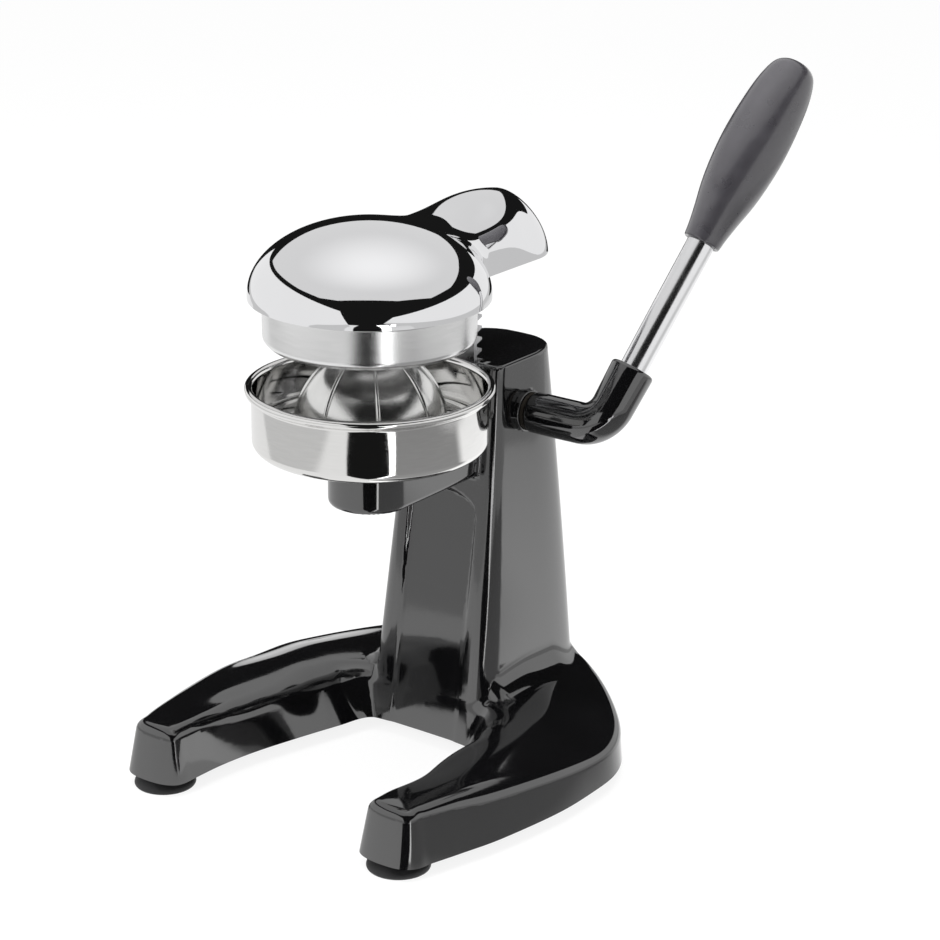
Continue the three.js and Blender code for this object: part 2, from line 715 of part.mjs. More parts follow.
function strainerCone() {
  const top = strainerProfile(0);
  const under = strainerProfile(coneSheet).slice(1).reverse();
  const skirtInner = strainerRadius - strainerSheet;
  let body = turned([
    ...[...top].reverse(),
    [strainerRadius - strainerSheet / 2, strainerRim],
    [strainerRadius, strainerRim - strainerSheet / 2],
    [strainerRadius - strainerSheet / 2, strainerFloor],
    [skirtInner - strainerSheet / 2, strainerFloor],
    [skirtInner, strainerRim - strainerSheet],
    [strainerRadius - strainerRimWidth, strainerRim - strainerSheet],
    ...under.reverse().slice(0, -1),
    [0, coneTop - coneSheet],
  ], largeTurn);
  for (let i = 0; i < slotCount; i += 1) {
    const angle = (2 * Math.PI * (i + 0.5)) / slotCount;
    const slot = block(
      new THREE.Vector3(coneRadius + slotStart, -slotWidth / 2, strainerFloor),
      new THREE.Vector3(strainerRadius - slotEnd, slotWidth / 2, coneTop),
    );
    body = body.subtract(slot.rotate([0, 0, THREE.MathUtils.radToDeg(angle)]));
  }
  for (let i = 0; i < ribCount; i += 1) {
    const angle = (2 * Math.PI * i) / ribCount;
    const outline = strainerProfile(0).slice(2).map(([r, z]) => [r, z]);
    const lifted = outline.map(([r, z], k) => [
      r + ribHeight * (1 - k / outline.length), z + ribHeight * (k / outline.length),
    ]);
    const sunk = outline.map(([r, z], k) => [
      Math.max(r - ribHeight * (1 - k / outline.length), 0), z - ribHeight * (k / outline.length) ** 0.5,
    ]);
    const rib = extrudedAcross([...lifted, ...sunk.reverse()], -ribWidth / 2, ribWidth / 2);
    body = body.add(rib.rotate([0, 0, THREE.MathUtils.radToDeg(angle)]));
  }
  return body;
}

// Gear teeth
function pinionPitchRadius() {
  return (gearModule * pinionTeeth) / 2;
}

const toothPitch = Math.PI * gearModule;
const pressureAngle = Math.PI * pressureAngleShare;

function pinionOutline() {
  const pitchRadius = pinionPitchRadius();
  const baseRadius = pitchRadius * Math.cos(pressureAngle);
  const tipRadius = pitchRadius + gearModule;
  const rootRadius = pitchRadius - gearModule - rootClearance;
  const involute = (radius) => {
    const angle = Math.acos(Math.min(1, baseRadius / radius));
    return Math.tan(angle) - angle;
  };
  const halfTooth = (toothPitch - backlash) / 4 / pitchRadius + involute(pitchRadius);
  const flankSteps = 2;
  const flank = [[rootRadius, halfTooth * 1.12]];
  for (let i = 0; i <= flankSteps; i += 1) {
    const radius = mix(baseRadius, tipRadius, i / flankSteps);
    flank.push([radius, halfTooth - involute(radius)]);
  }
  const outline = [];
  for (let tooth = 0; tooth < pinionTeeth; tooth += 1) {
    const centre = Math.PI + (2 * Math.PI * tooth) / pinionTeeth;
    flank.forEach(([radius, half]) => outline.push([radius, centre - half]));
    [...flank].reverse().forEach(([radius, half]) => outline.push([radius, centre + half]));
  }
  return outline.map(([radius, angle]) => [radius * Math.cos(angle), radius * Math.sin(angle)]);
}

function drivePinion() {
  const hubEnd = pinionWidth / 2 + pinionHubLength;
  const origin = new THREE.Vector3();
  let body = extrudedAcross(pinionOutline(), -pinionWidth / 2, pinionWidth / 2);
  body = body.add(rod(pinionHubRadius, 0, hubEnd, mediumTurn, origin, AXIS_X));
  body = body.subtract(rod(shaftRadius + fitGap, -hubEnd, hubEnd + overrun, smallTurn, origin, AXIS_X));
  return body.subtract(keyPinHole());
}

const keyPinAt = pinionWidth / 2 + pinionHubLength / 2;

function keyPinHole() {
  const place = new THREE.Vector3(keyPinAt, 0, 0);
  return rod(keyPinRadius + fitGap, -2 * shaftRadius, 2 * shaftRadius, smallTurn, place, AXIS_Y);
}

function rackBar() {
  const pitchLine = shaftBack - pinionPitchRadius();
  const tip = pitchLine + gearModule;
  const root = pitchLine - gearModule - rootClearance;
  const slope = Math.tan(pressureAngle);
  const halfAtPitch = (toothPitch - backlash) / 4;
  const outline = [[rackBack, rackBottom], [tip - gearModule, rackBottom]];
  for (let k = -rackTeethBelow; k < rackTeethAbove; k += 1) {
    const centre = shaftHeight + (k + 0.5) * toothPitch;
    const halfRoot = halfAtPitch + (pitchLine - root) * slope;
    const halfTip = halfAtPitch - (tip - pitchLine) * slope;
    outline.push([root, centre - halfRoot], [tip, centre - halfTip]);
    outline.push([tip, centre + halfTip], [root, centre + halfRoot]);
  }
  const plain = shaftHeight + (rackTeethAbove + 0.5) * toothPitch;
  outline.push([root, plain - toothPitch / 3], [tip, plain], [tip, rackTop], [rackBack, rackTop]);
  outline[1][0] = root;
  let body = extrudedAcross(outline, -rackWidth / 2, rackWidth / 2);
  for (const side of [-1, 1]) {
    const place = new THREE.Vector3((side * rackScrewSpacing) / 2, 0, rackScrewHeight);
    const hole = rod(rackScrew.shank + fitGap, rackBack - overrun, tip + overrun, smallTurn, place, AXIS_Y);
    body = body.subtract(hole);
  }
  return body;
}

// Half of the arm's section above its sides. It is boxy at the neck and peaked at the end.
function armProfile(inset, endShare) {
  const points = [];
  const steps = 6;
  const half = armHalfWidth - inset;
  const bulge = armBulge * Math.sin(Math.PI * endShare ** 1.8);
  const top = mix(armTop, armEndTop, endShare) + bulge - inset;
  const shoulder = mix(armShoulder, headRim + headEdge, endShare ** 2);
  const power = mix(0.75, 1.4, endShare ** 2);
  for (let i = 0; i <= steps; i += 1) {
    const angle = (Math.PI / 2) * (i / steps);
    points.push([half * Math.cos(angle) ** power, mix(shoulder, top, Math.sin(angle) ** power)]);
  }
  return points;
}

// The arm as a hood with a round end, from a start behind the bowl's axis
function armBody(inset, start, bottom) {
  const section = (y, widen, endShare) => {
    const right = [[armHalfWidth - inset + widen, bottom]];
    armProfile(inset, endShare).forEach(([x, z]) => right.push([x * (1 + widen / armHalfWidth), z]));
    right.at(-1)[0] = 0;
    const left = right.slice(0, -1).reverse().map(([x, z]) => [-x, z]);
    return [...right, ...left].map(([x, z]) => new THREE.Vector3(x, y, z));
  };
  const neckSteps = 4;
  const endSteps = 5;
  const sections = [];
  const neckStart = Math.sqrt(domeRadius ** 2 - armHalfWidth ** 2) - neckLength / 2;
  const neckEnd = neckStart + neckLength;
  if (inset === 0) {
    sections.push(section(start, neckFlare, 0));
    for (let i = 0; i <= neckSteps; i += 1) {
      const share = i / neckSteps;
      sections.push(section(neckStart + neckLength * share, neckFlare * (1 - share) ** 2, 0));
    }
  } else {
    sections.push(section(start, 0, (start - neckEnd) / (armEndCentre - neckEnd)));
  }
  for (let i = 1; i <= endSteps; i += 1) {
    const share = i / endSteps;
    sections.push(section(mix(neckEnd, armEndCentre, share), 0, share));
  }
  const straight = loft(sections, (p) => new THREE.Vector2(p.x, p.z));
  const endProfile = armProfile(inset, 1).slice(0, -1);
  const end = turned(
    [[0, bottom], [armHalfWidth - inset, bottom], ...endProfile, [0, armEndTop - inset]],
    largeTurn,
    new THREE.Vector3(0, armEndCentre, 0),
  );
  return straight.add(end);
}

function domeProfile(inset, bottom) {
  const points = [[0, bottom], [domeRadius - inset, bottom]];
  if (inset === 0) points.splice(1, 1, [domeRadius - headEdge, bottom], [domeRadius, bottom + headEdge]);
  const steps = inset === 0 ? 8 : 4;
  const rise = domeTop - domeShoulder - inset;
  for (let i = 0; i < steps; i += 1) {
    const angle = (Math.PI / 2) * (i / steps);
    points.push([(domeRadius - inset) * Math.cos(angle), domeShoulder + rise * Math.sin(angle)]);
  }
  points.push([0, domeTop - inset]);
  return points;
}

function pressHead() {
  let body = turned(domeProfile(0, headRim), largeTurn).add(armBody(0, domeRadius * 0.4, headRim));
  const seat = cupRadius + cupBead + fitGap;
  const land = cupShoulder + fitGap;
  body = body.subtract(rod(seat, headRim - overrun, land, largeTurn));
  body = body.subtract(rod(seat - landWidth, headRim, land + landWidth, largeTurn));
  const inner = turned(domeProfile(headWall, land + landWidth / 2), largeTurn);
  body = body.subtract(inner);
  body = body.subtract(armBody(headWall, rackBack - fitGap, headRim - overrun));
  for (let i = 0; i < cupScrewCount; i += 1) {
    const place = cupScrewPlace(i);
    const low = cupOuterAt(cupScrewCircle) + fitGap;
    const high = domeInnerAt(cupScrewCircle) + headWall / 4;
    body = body.add(rod(cupBossRadius, low, high, smallTurn, place));
    body = body.subtract(rod(cupScrew.shank + fitGap, low - overrun, cupScrewTop(), smallTurn, place));
  }
  for (const side of [-1, 1]) {
    const place = new THREE.Vector3((side * rackScrewSpacing) / 2, 0, rackScrewHeight);
    const from = rackScrewSeat() - rackScrew.length - fitGap;
    body = body.subtract(rod(rackScrew.shank + fitGap, from, rackBack, smallTurn, place, AXIS_Y));
  }
  return body;
}

const rackScrewSeat = () => shaftBack - pinionPitchRadius() + gearModule + fitGap;

function cupScrewPlace(i) {
  const angle = Math.PI / 2 + (2 * Math.PI * i) / cupScrewCount;
  return new THREE.Vector3(cupScrewCircle * Math.cos(angle), cupScrewCircle * Math.sin(angle), 0);
}

// Height of the dome's inside at a distance from its axis
function domeInnerAt(radius) {
  const rise = domeTop - domeShoulder - headWall;
  return domeShoulder + rise * Math.sqrt(1 - (radius / (domeRadius - headWall)) ** 2);
}

// Heights of the cup's crown, outside and inside, at a distance from its axis
function cupOuterAt(radius) {
  return cupBottom + (cupDepth + cupCrown) * Math.sqrt(1 - (radius / cupRadius) ** 2);
}
function cupInnerAt(radius) {
  return cupBottom + cupDepth * Math.sqrt(1 - (radius / (cupRadius - cupWall)) ** 2);
}
// The seat of a cup screw's head, a little below the crown's inside where it is lowest
function cupScrewSeat() {
  return cupInnerAt(cupScrewCircle + cupScrew.head) - fitGap;
}
function cupScrewTop() {
  return cupScrewSeat() + cupScrew.length + fitGap;
}

function pressCup() {
  const inner = cupRadius - cupWall;
  const crownSteps = 4;
  const steps = 6;
  const profile = [];
  const edge = cupBottom + cupLip;
  profile.push([cupRadius - cupLip * 0.75, cupBottom], [cupRadius - cupLip * 0.25, cupBottom + cupLip * 0.3]);
  profile.push([cupRadius, edge]);
  const beadLow = cupShoulder - 2 * cupBeadHeight;
  profile.push([cupRadius, beadLow], [cupRadius + cupBead, beadLow + cupBead]);
  profile.push([cupRadius + cupBead, cupShoulder]);
  const startShare = (cupShoulder - cupBottom) / (cupDepth + cupCrown);
  const startAngle = Math.asin(startShare);
  for (let i = 0; i < crownSteps; i += 1) {
    const angle = mix(startAngle, Math.PI / 2, i / crownSteps);
    profile.push([cupRadius * Math.cos(angle), cupBottom + (cupDepth + cupCrown) * Math.sin(angle)]);
  }
  profile.push([0, cupBottom + cupDepth + cupCrown], [0, cupBottom + cupDepth]);
  for (let i = 1; i <= steps; i += 1) {
    const angle = mix(Math.PI / 2, 0, i / steps);
    profile.push([inner * Math.cos(angle), cupBottom + cupDepth * Math.sin(angle)]);
  }
  profile.push(profile[0]);
  let body = turned(profile, largeTurn);
  for (let i = 0; i < cupScrewCount; i += 1) {
    const place = cupScrewPlace(i);
    const pad = rod(cupScrew.head * 1.25, cupScrewSeat(), cupOuterAt(cupScrewCircle + cupBossRadius),
      smallTurn, place);
    body = body.add(pad);
    body = body.subtract(rod(cupScrew.shank + fitGap, cupBottom, domeTop, smallTurn, place));
    const flatTop = rod(cupBossRadius + fitGap, cupOuterAt(cupScrewCircle), domeTop, smallTurn, place);
    body = body.subtract(flatTop);
  }
  return body;
}

// Parts on the shaft. The lever's group has its origin on the shaft's axis.
function shaftBush(side) {
  const bore = shaftRadius + fitGap;
  const outer = bore + bushWall;
  const start = bearingFace - bearingBossLength + fitGap;
  const seat = bearingFace + fitGap;
  return turned([
    [bore, start], [outer, start], [outer, seat], [bushFlangeRadius, seat],
    [bushFlangeRadius, seat + bushFlange], [bore, seat + bushFlange], [bore, start],
  ], smallTurn, new THREE.Vector3(0, shaftBack, shaftHeight), AXIS_X.clone().multiplyScalar(side));
}

const hubStart = bearingFace + fitGap + bushFlange + fitGap;

function driveShaft() {
  const left = -hubStart + fitGap;
  const origin = new THREE.Vector3();
  let body = rod(shaftRadius, left, shaftEnd, mediumTurn, origin, AXIS_X);
  const tapped = rod(endScrew.shank + fitGap, left - overrun, left + endScrew.length, smallTurn, origin, AXIS_X);
  body = body.subtract(tapped).subtract(keyPinHole());
  const dimple = rod(grubScrew.shank + fitGap, 0, shaftRadius * 2, smallTurn,
    new THREE.Vector3(grubScrewAt, 0, -shaftRadius * 2 - shaftRadius * 0.85), AXIS_Z);
  return body.subtract(dimple);
}

const grubScrewAt = mix(hubStart, shaftEnd, 0.45);

function keyPin() {
  const half = pinionHubRadius - fitGap;
  const place = new THREE.Vector3(keyPinAt, 0, 0);
  return rod(keyPinRadius, -half, half, smallTurn, place, AXIS_Y);
}

// The lever's direction at rest: out to the side, backwards and up
function leverDirection() {
  const upShare = Math.sqrt(1 - leverOutShare ** 2 - leverBackShare ** 2);
  return new THREE.Vector3(leverOutShare, leverBackShare, upShare);
}

// The elbow's middle line: along the shaft, round the bend and up the lever
class ElbowLine extends THREE.Curve {
  constructor(start, corner, direction, end, bend) {
    super();
    const turn = Math.acos(direction.dot(AXIS_X));
    const reach = bend * Math.tan(turn / 2);
    this.start = new THREE.Vector3(start, 0, 0);
    this.corner = new THREE.Vector3(corner, 0, 0);
    this.enter = this.corner.clone().addScaledVector(AXIS_X, -reach);
    this.leave = this.corner.clone().addScaledVector(direction, reach);
    this.end = this.corner.clone().addScaledVector(direction, end);
    this.normal = direction.clone().addScaledVector(AXIS_X, -direction.dot(AXIS_X)).normalize();
    this.turn = turn;
    this.bend = bend;
  }

  getPoint(t, target = new THREE.Vector3()) {
    const lengths = [
      this.enter.distanceTo(this.start), this.bend * this.turn, this.end.distanceTo(this.leave),
    ];
    const total = lengths[0] + lengths[1] + lengths[2];
    const along = t * total;
    if (along <= lengths[0]) return target.copy(this.start).addScaledVector(AXIS_X, along);
    if (along <= lengths[0] + lengths[1]) {
      const angle = (along - lengths[0]) / this.bend;
      target.copy(this.enter).addScaledVector(AXIS_X, this.bend * Math.sin(angle));
      return target.addScaledVector(this.normal, this.bend * (1 - Math.cos(angle)));
    }
    const rest = (along - lengths[0] - lengths[1]) / lengths[2];
    return target.copy(this.leave).lerp(this.end, rest);
  }
}

function leverElbow() {
  const direction = leverDirection();
  const line = new ElbowLine(hubStart, elbowCorner, direction, elbowSocketEnd, elbowBend);
  const steps = 12;
  const rings = [];
  const spots = [];
  for (let i = 0; i <= steps; i += 1) spots.push(i / steps);
  const total = line.getLength();
  const nearEnd = elbowEdge / total;
  spots.splice(steps, 0, 1 - nearEnd);
  spots.splice(1, 0, nearEnd);
  const frameUp = new THREE.Vector3();
  for (const t of spots) {
    const centre = line.getPoint(t);
    const tangent = line.getTangent(t);
    const side = new THREE.Vector3().crossVectors(AXIS_X, line.normal).normalize();
    frameUp.crossVectors(tangent, side).normalize();
    const socketShare = THREE.MathUtils.smoothstep(t, 0.55, 0.9);
    const edge = t === 0 || t === 1 ? elbowEdge : 0;
    const radius = mix(elbowRadius, elbowSocketRadius, socketShare) - edge;
    const ring = [];
    for (let k = 0; k < mediumTurn; k += 1) {
      const angle = (2 * Math.PI * k) / mediumTurn;
      ring.push(centre.clone()
        .addScaledVector(side, radius * Math.cos(angle))
        .addScaledVector(frameUp, radius * Math.sin(angle)));
    }
    rings.push(ring);
  }
  const flattenBy = (ring) => (p) => new THREE.Vector2(p.y, p.z);
  const body = loft(rings, flattenBy(rings[0]));
  const origin = new THREE.Vector3();
  const corner = new THREE.Vector3(elbowCorner, 0, 0);
  const shaftHole = rod(shaftRadius + fitGap, hubStart - overrun, shaftEnd + fitGap, smallTurn, origin, AXIS_X);
  const tubeHole = rod(tubeRadius + fitGap, elbowSocketDepth - fitGap, elbowSocketEnd + overrun,
    smallTurn, corner, direction);
  const screwHole = rod(grubScrew.shank + fitGap, -elbowRadius - overrun, 0, smallTurn,
    new THREE.Vector3(grubScrewAt, 0, 0), AXIS_Z);
  return body.subtract(shaftHole).subtract(tubeHole).subtract(screwHole);
}

function elbowGrubScrew() {
  const top = -shaftRadius - fitGap;
  const bottom = -elbowRadius + fitGap;
  const socket = grubScrew.shank * screwRecessShare;
  return turned([
    [0, bottom + (top - bottom) * screwRecessShare], [socket, bottom + (top - bottom) * screwRecessShare],
    [socket, bottom], [grubScrew.shank, bottom], [grubScrew.shank, top], [0, top],
  ], smallTurn, new THREE.Vector3(grubScrewAt, 0, 0));
}

// Pieces along the lever, in a group whose +Z runs along it from the shaft's axis
function leverTube() {
  const inner = tubeRadius - tubeWall;
  const end = gripBoreEnd - fitGap;
  return turned([
    [inner, elbowSocketDepth], [tubeRadius, elbowSocketDepth], [tubeRadius, end], [inner, end],
    [inner, elbowSocketDepth],
  ], mediumTurn);
}

// The grip's outline: along it as a share of its length, and its radius as a share of the widest
const gripShares = [
  [0, 0.56], [0.02, 0.58], [0.07, 0.62], [0.15, 0.71], [0.25, 0.84], [0.33, 0.915], [0.42, 0.97],
  [0.52, 1], [0.62, 0.99], [0.71, 0.955], [0.8, 0.9], [0.87, 0.825], [0.93, 0.72], [0.965, 0.6],
  [0.987, 0.42], [0.997, 0.22], [1, 0],
];

function handGrip() {
  const length = gripEnd - gripStart;
  const bore = tubeRadius + fitGap;
  const outline = gripShares.map(([along, wide]) => [wide * gripRadius, gripStart + along * length]);
  const profile = [[0, gripBoreEnd], [bore, gripBoreEnd], [bore, gripStart], ...outline];
  return turned(profile, mediumTurn);
}

function buildPress() {
  const whole = new THREE.Group();
  const stand = new THREE.Group();
  whole.add(stand);
  stand.add(named('stand_casting', standCasting(), blackGloss));
  for (const [place, x, y] of footPlaces) {
    const foot = named(`suction_foot_${place}`, suctionFoot(), darkRubber);
    foot.position.set(x, y, 0);
    const screw = named(`foot_screw_${place}`, screwBody(footScrew), machinedSteel);
    screw.position.set(x, y, (baseUnderside - fitGap) * 0.68 - fitGap);
    stand.add(foot, screw);
  }
  stand.add(named('shaft_bush_right', shaftBush(1), bronze));
  stand.add(named('shaft_bush_left', shaftBush(-1), bronze));
  stand.add(named('juice_bowl', juiceBowl(), polishedSteel));
  stand.add(named('strainer_cone', strainerCone(), castAluminium));

  const press = new THREE.Group();
  whole.add(press);
  press.add(named('press_head', pressHead(), chrome));
  press.add(named('press_cup', pressCup(), satinAluminium));
  press.add(named('rack_bar', rackBar(), machinedSteel));
  [-1, 1].forEach((side, i) => {
    const screw = named(`rack_screw_${i + 1}`, screwBody(rackScrew), machinedSteel);
    screw.rotation.x = Math.PI / 2;
    screw.position.set((side * rackScrewSpacing) / 2, rackScrewSeat(), rackScrewHeight);
    press.add(screw);
  });
  for (let i = 0; i < cupScrewCount; i += 1) {
    const screw = named(`cup_screw_${i + 1}`, screwBody(cupScrew), machinedSteel);
    screw.position.copy(cupScrewPlace(i)).setZ(cupScrewSeat() - fitGap);
    press.add(screw);
  }

  const lever = new THREE.Group();
  lever.position.set(0, shaftBack, shaftHeight);
  whole.add(lever);
  lever.add(named('drive_shaft', driveShaft(), machinedSteel));
  lever.add(named('drive_pinion', drivePinion(), machinedSteel));
  lever.add(named('pinion_pin', keyPin(), machinedSteel));
  lever.add(named('lever_elbow', leverElbow(), blackGloss));
  lever.add(named('elbow_grub_screw', elbowGrubScrew(), machinedSteel));
  const washer = turned([
    [endScrew.shank + fitGap, 0], [washerRadius, 0], [washerRadius, washerThickness],
    [endScrew.shank + fitGap, washerThickness], [endScrew.shank + fitGap, 0],
  ], smallTurn);
  const washerMesh = named('shaft_end_washer', washer, machinedSteel);
  washerMesh.rotation.y = -Math.PI / 2;
  washerMesh.position.x = -hubStart;
  lever.add(washerMesh);
  const endScrewMesh = named('shaft_end_screw', screwBody(endScrew), machinedSteel);
  endScrewMesh.rotation.y = Math.PI / 2;
  endScrewMesh.position.x = -hubStart - washerThickness - fitGap;
  lever.add(endScrewMesh);

  const arm = new THREE.Group();
  arm.position.x = elbowCorner;
  arm.quaternion.setFromUnitVectors(AXIS_Z, leverDirection());
  lever.add(arm);
  arm.add(named('lever_tube', leverTube(), chrome));
  arm.add(named('hand_grip', handGrip(), greyGrip));

  // The part's origin is the middle of its bounding box, on the table
  const box = new THREE.Box3().setFromObject(whole, true);
  const centre = box.getCenter(new THREE.Vector3());
  whole.position.set(-centre.x, -centre.y, -box.min.z);
  const part = new THREE.Group();
  part.add(whole);
  return part;
}

export default buildPress();
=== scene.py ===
import math

import bmesh
import bpy
import numpy as np
from mathutils import Matrix, Vector


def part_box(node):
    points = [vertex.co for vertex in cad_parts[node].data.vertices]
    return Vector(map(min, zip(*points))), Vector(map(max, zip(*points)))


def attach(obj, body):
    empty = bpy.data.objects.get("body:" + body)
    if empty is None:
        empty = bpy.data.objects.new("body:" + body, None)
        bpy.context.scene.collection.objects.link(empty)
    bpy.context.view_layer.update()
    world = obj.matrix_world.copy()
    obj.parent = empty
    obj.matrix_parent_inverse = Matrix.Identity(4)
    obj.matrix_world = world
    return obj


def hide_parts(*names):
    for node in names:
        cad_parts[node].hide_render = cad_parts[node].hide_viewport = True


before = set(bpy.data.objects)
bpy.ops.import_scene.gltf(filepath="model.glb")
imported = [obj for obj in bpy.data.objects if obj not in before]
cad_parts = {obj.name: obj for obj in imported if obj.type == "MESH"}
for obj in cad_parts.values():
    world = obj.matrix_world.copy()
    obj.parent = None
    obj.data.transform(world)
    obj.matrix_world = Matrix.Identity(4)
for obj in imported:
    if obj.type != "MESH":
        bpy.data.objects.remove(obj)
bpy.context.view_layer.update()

# Sizes are in millimetres from the bowl's axis, with the table at zero; UNIT takes them to metres
UNIT = 0.001
bowl_low, bowl_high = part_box("juice_bowl")
AXIS = (bowl_low + bowl_high) / 2
SHIFT = np.array([AXIS.x, AXIS.y, 0.0])

# Stand casting
BASE_HALF_WIDTH = 100.6
LEG_REACH = 79.6
BASE_LENGTH = 207.1
BASE_UNDERSIDE = 6.0
CAST_WALL = 5.5
COLUMN_TOP = 183.2
COLUMN_EDGE = 1.2
# Each pair from the base's underside to the column's top
COLUMN_FRONT = (38.3, 61.0)
COLUMN_BACK = (124.5, 114.0)
COLUMN_HALF_WIDTH = (35.6, 25.4)
COLUMN_CORNER = (11.0, 5.5)
COLUMN_POWER = (4.6, 2.6)
FRONT_SHARE = 0.45
BRACKET_BOTTOM = 131.7
BRACKET_TOP = 158.0
BRACKET_HALF_WIDTH = 19.0
BRACKET_BACK = 72.0
BRACKET_EDGE = 2.4
BRACKET_FILLET = 1.5
SEAT_HEIGHT = 151.6
SEAT_RISE = 6.0
SEAT_INNER = 17.3
SEAT_WIDTH = 32.3
SPOUT_BORE = 11.2
GUIDE_HALF_WIDTH = 16.5
GUIDE_FRONT = 56.3
GUIDE_BACK = 66.0
GUIDE_LOW = 144.9
# Flare of the column's sides onto the legs, and where it fades to a fillet at the rear
FLARE = 12.5
FLARE_FRONT = 45
FLARE_FRONT_ROUNDING = 6
FLARE_FADE = (94, 116)
FRONT_FILLET = 3
REAR_FILLET = 4
RECESS_HALF_WIDTH = 18.5
RECESS_TOP = 122.5
RECESS_BOTTOM = 24.0
RECESS_ARCH = 113.3
RECESS_ARCH_RISE = 9.25
RECESS_DEPTH = 3.0
RECESS_LEAST_SHARE = 0.1
RECESS_FADE = 1.3
RECESS_ROUNDING = 1.6
RECESS_EDGE = 2.2
SMALL_EDGE = 0.5
CAST_EDGE = 0.8
FOOT_BOSS = 8
SHAFT_HEIGHT = 158.7
SHAFT_BACK = 80.4
PAD_RADIUS = 9.6
PAD_FACE = 29.2
PAD_ROOT = 14
BUSH_BORE = 8.4
BORE_CLEARANCE = 0.6
BORE_START = 15
SLOT_HALF_WIDTH = 11.9
SLOT_FRONT = 60.6
SLOT_BACK = 67.2
FOOT_PLACES = {
    "front_left": (-67.1, -66.5), "front_right": (67.1, -66.5),
    "rear_left": (-55.0, 84.0), "rear_right": (55.0, 84.0),
}

# Press head
HEAD_RIM = 226.5
DOME_RADIUS = 53.1
DOME_SHOULDER = 228.0
DOME_TOP = 260.0
HEAD_WALL = 3.2
ARM_HALF_WIDTH = 23.2
ARM_END = 94.0
ARM_SWELL = 84.0
ARM_RISE = 4.6
NECK_TOP = 252.6
# Lengths over which the arm's end and swell come in, its shoulder's height and drop, and where it starts
ARM_END_LENGTH = 6
ARM_SWELL_LENGTH = 19
ARM_SHOULDER = 237
ARM_SHOULDER_DROP = 10.5
ARM_START = 15
# Scales that turn shares of a rounded top into about millimetres
DOME_SCALE = 40
ARM_SCALE = 22
HEAD_FILLET = 7
HEAD_EDGE = 0.6
SEAT_RADIUS = 47.8

# Lever
LEVER_OUT = 0.178
LEVER_BACK = 0.549
ELBOW_CORNER = 68.4
ELBOW_START = 31.4
ELBOW_RADIUS = 9.5
SOCKET_RADIUS = 10.2
ELBOW_BEND = 13.5
SOCKET_END = 30.4
TUBE_RADIUS = 6.4
GRIP_START = 94.7
GRIP_END = 187.8
GRIP_RADIUS = 15.2

TURN = 128


# Points and meshes

def to_frame(points):
    return np.asarray(points, float) * UNIT + SHIFT


def new_object(name, points, faces, smooth=True):
    mesh = bpy.data.meshes.new(name)
    mesh.from_pydata(to_frame(points).tolist(), [], faces)
    mesh.validate()
    if smooth:
        mesh.shade_smooth()
    else:
        mesh.shade_flat()
    obj = bpy.data.objects.new(name, mesh)
    bpy.context.scene.collection.objects.link(obj)
    return obj


def finish_piece(obj, material, slot, body, *nodes):
    obj.data.materials.clear()
    obj.data.materials.append(material)
    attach(obj, body)
    if nodes:
        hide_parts(*nodes)


def soft_profile(corners, steps=5):
    """A profile with each corner (radius, height, rounding) turned into a short arc."""
    points = []
    for i, corner in enumerate(corners):
        p = np.array(corner[:2], float)
        rounding = corner[2] if len(corner) > 2 else 0.0
        before = np.array(corners[i - 1][:2], float) if i else None
        after = np.array(corners[i + 1][:2], float) if i + 1 < len(corners) else None
        if rounding == 0.0 or before is None or after is None:
            points.append(p)
            continue
        a, b = before - p, after - p
        reach = min(rounding, np.linalg.norm(a) * 0.48, np.linalg.norm(b) * 0.48)
        start = p + a / np.linalg.norm(a) * reach
        end = p + b / np.linalg.norm(b) * reach
        for k in range(steps + 1):
            t = k / steps
            points.append((1 - t) ** 2 * start + 2 * t * (1 - t) * p + t ** 2 * end)
    return points


def turned(name, corners, place=(0, 0, 0), axis=(0, 0, 1), turn=TURN, closed=False):
    """A profile of (radius, height[, rounding]) corners turned round an axis; closed joins its two ends."""
    profile = soft_profile([*corners, corners[0]])[:-1] if closed else soft_profile(corners)
    direction = Vector(axis).normalized()
    spin = np.array(Vector((0, 0, 1)).rotation_difference(direction).to_matrix())
    angles = np.arange(turn) * 2 * math.pi / turn
    points, rings = [], []
    for radius, height in profile:
        if radius < 1e-6:
            rings.append([len(points)])
            points.append((0, 0, height))
        else:
            rings.append(list(range(len(points), len(points) + turn)))
            points += [(radius * math.cos(a), radius * math.sin(a), height) for a in angles]
    faces = []
    pairs = list(zip(rings, rings[1:]))
    if closed:
        pairs.append((rings[-1], rings[0]))
    for low, high in pairs:
        for i in range(turn):
            j = (i + 1) % turn
            if len(low) == 1 and len(high) == 1:
                continue
            if len(low) == 1:
                faces.append((low[0], high[j], high[i]))
            elif len(high) == 1:
                faces.append((low[i], low[j], high[0]))
            else:
                faces.append((low[i], low[j], high[j], high[i]))
    points = np.array(points) @ spin.T + np.array(place)
    obj = new_object(name, points, faces)
    tidy_faces(obj)
    return obj


def tidy_faces(obj):
    """Welds points that coincide, turns the faces outwards and evens their shading."""
    bm = bmesh.new()
    bm.from_mesh(obj.data)
    bmesh.ops.remove_doubles(bm, verts=bm.verts, dist=1e-6)
    bmesh.ops.recalc_face_normals(bm, faces=bm.faces)
    bm.to_mesh(obj.data)
    bm.free()
    obj.modifiers.new("even_shading", "WEIGHTED_NORMAL").weight = 80


# Distance fields. A value is about the distance to the skin, negative inside.

def cut_edge(a, b, radius):
    """What both fields hold, with the edge between them rounded."""
    corner = np.hypot(np.maximum(a + radius, 0), np.maximum(b + radius, 0))
    return np.minimum(-radius, np.maximum(a, b)) + corner


def join_edge(a, b, radius):
    """What either field holds, with a fillet between them."""
    return -cut_edge(-a, -b, radius)


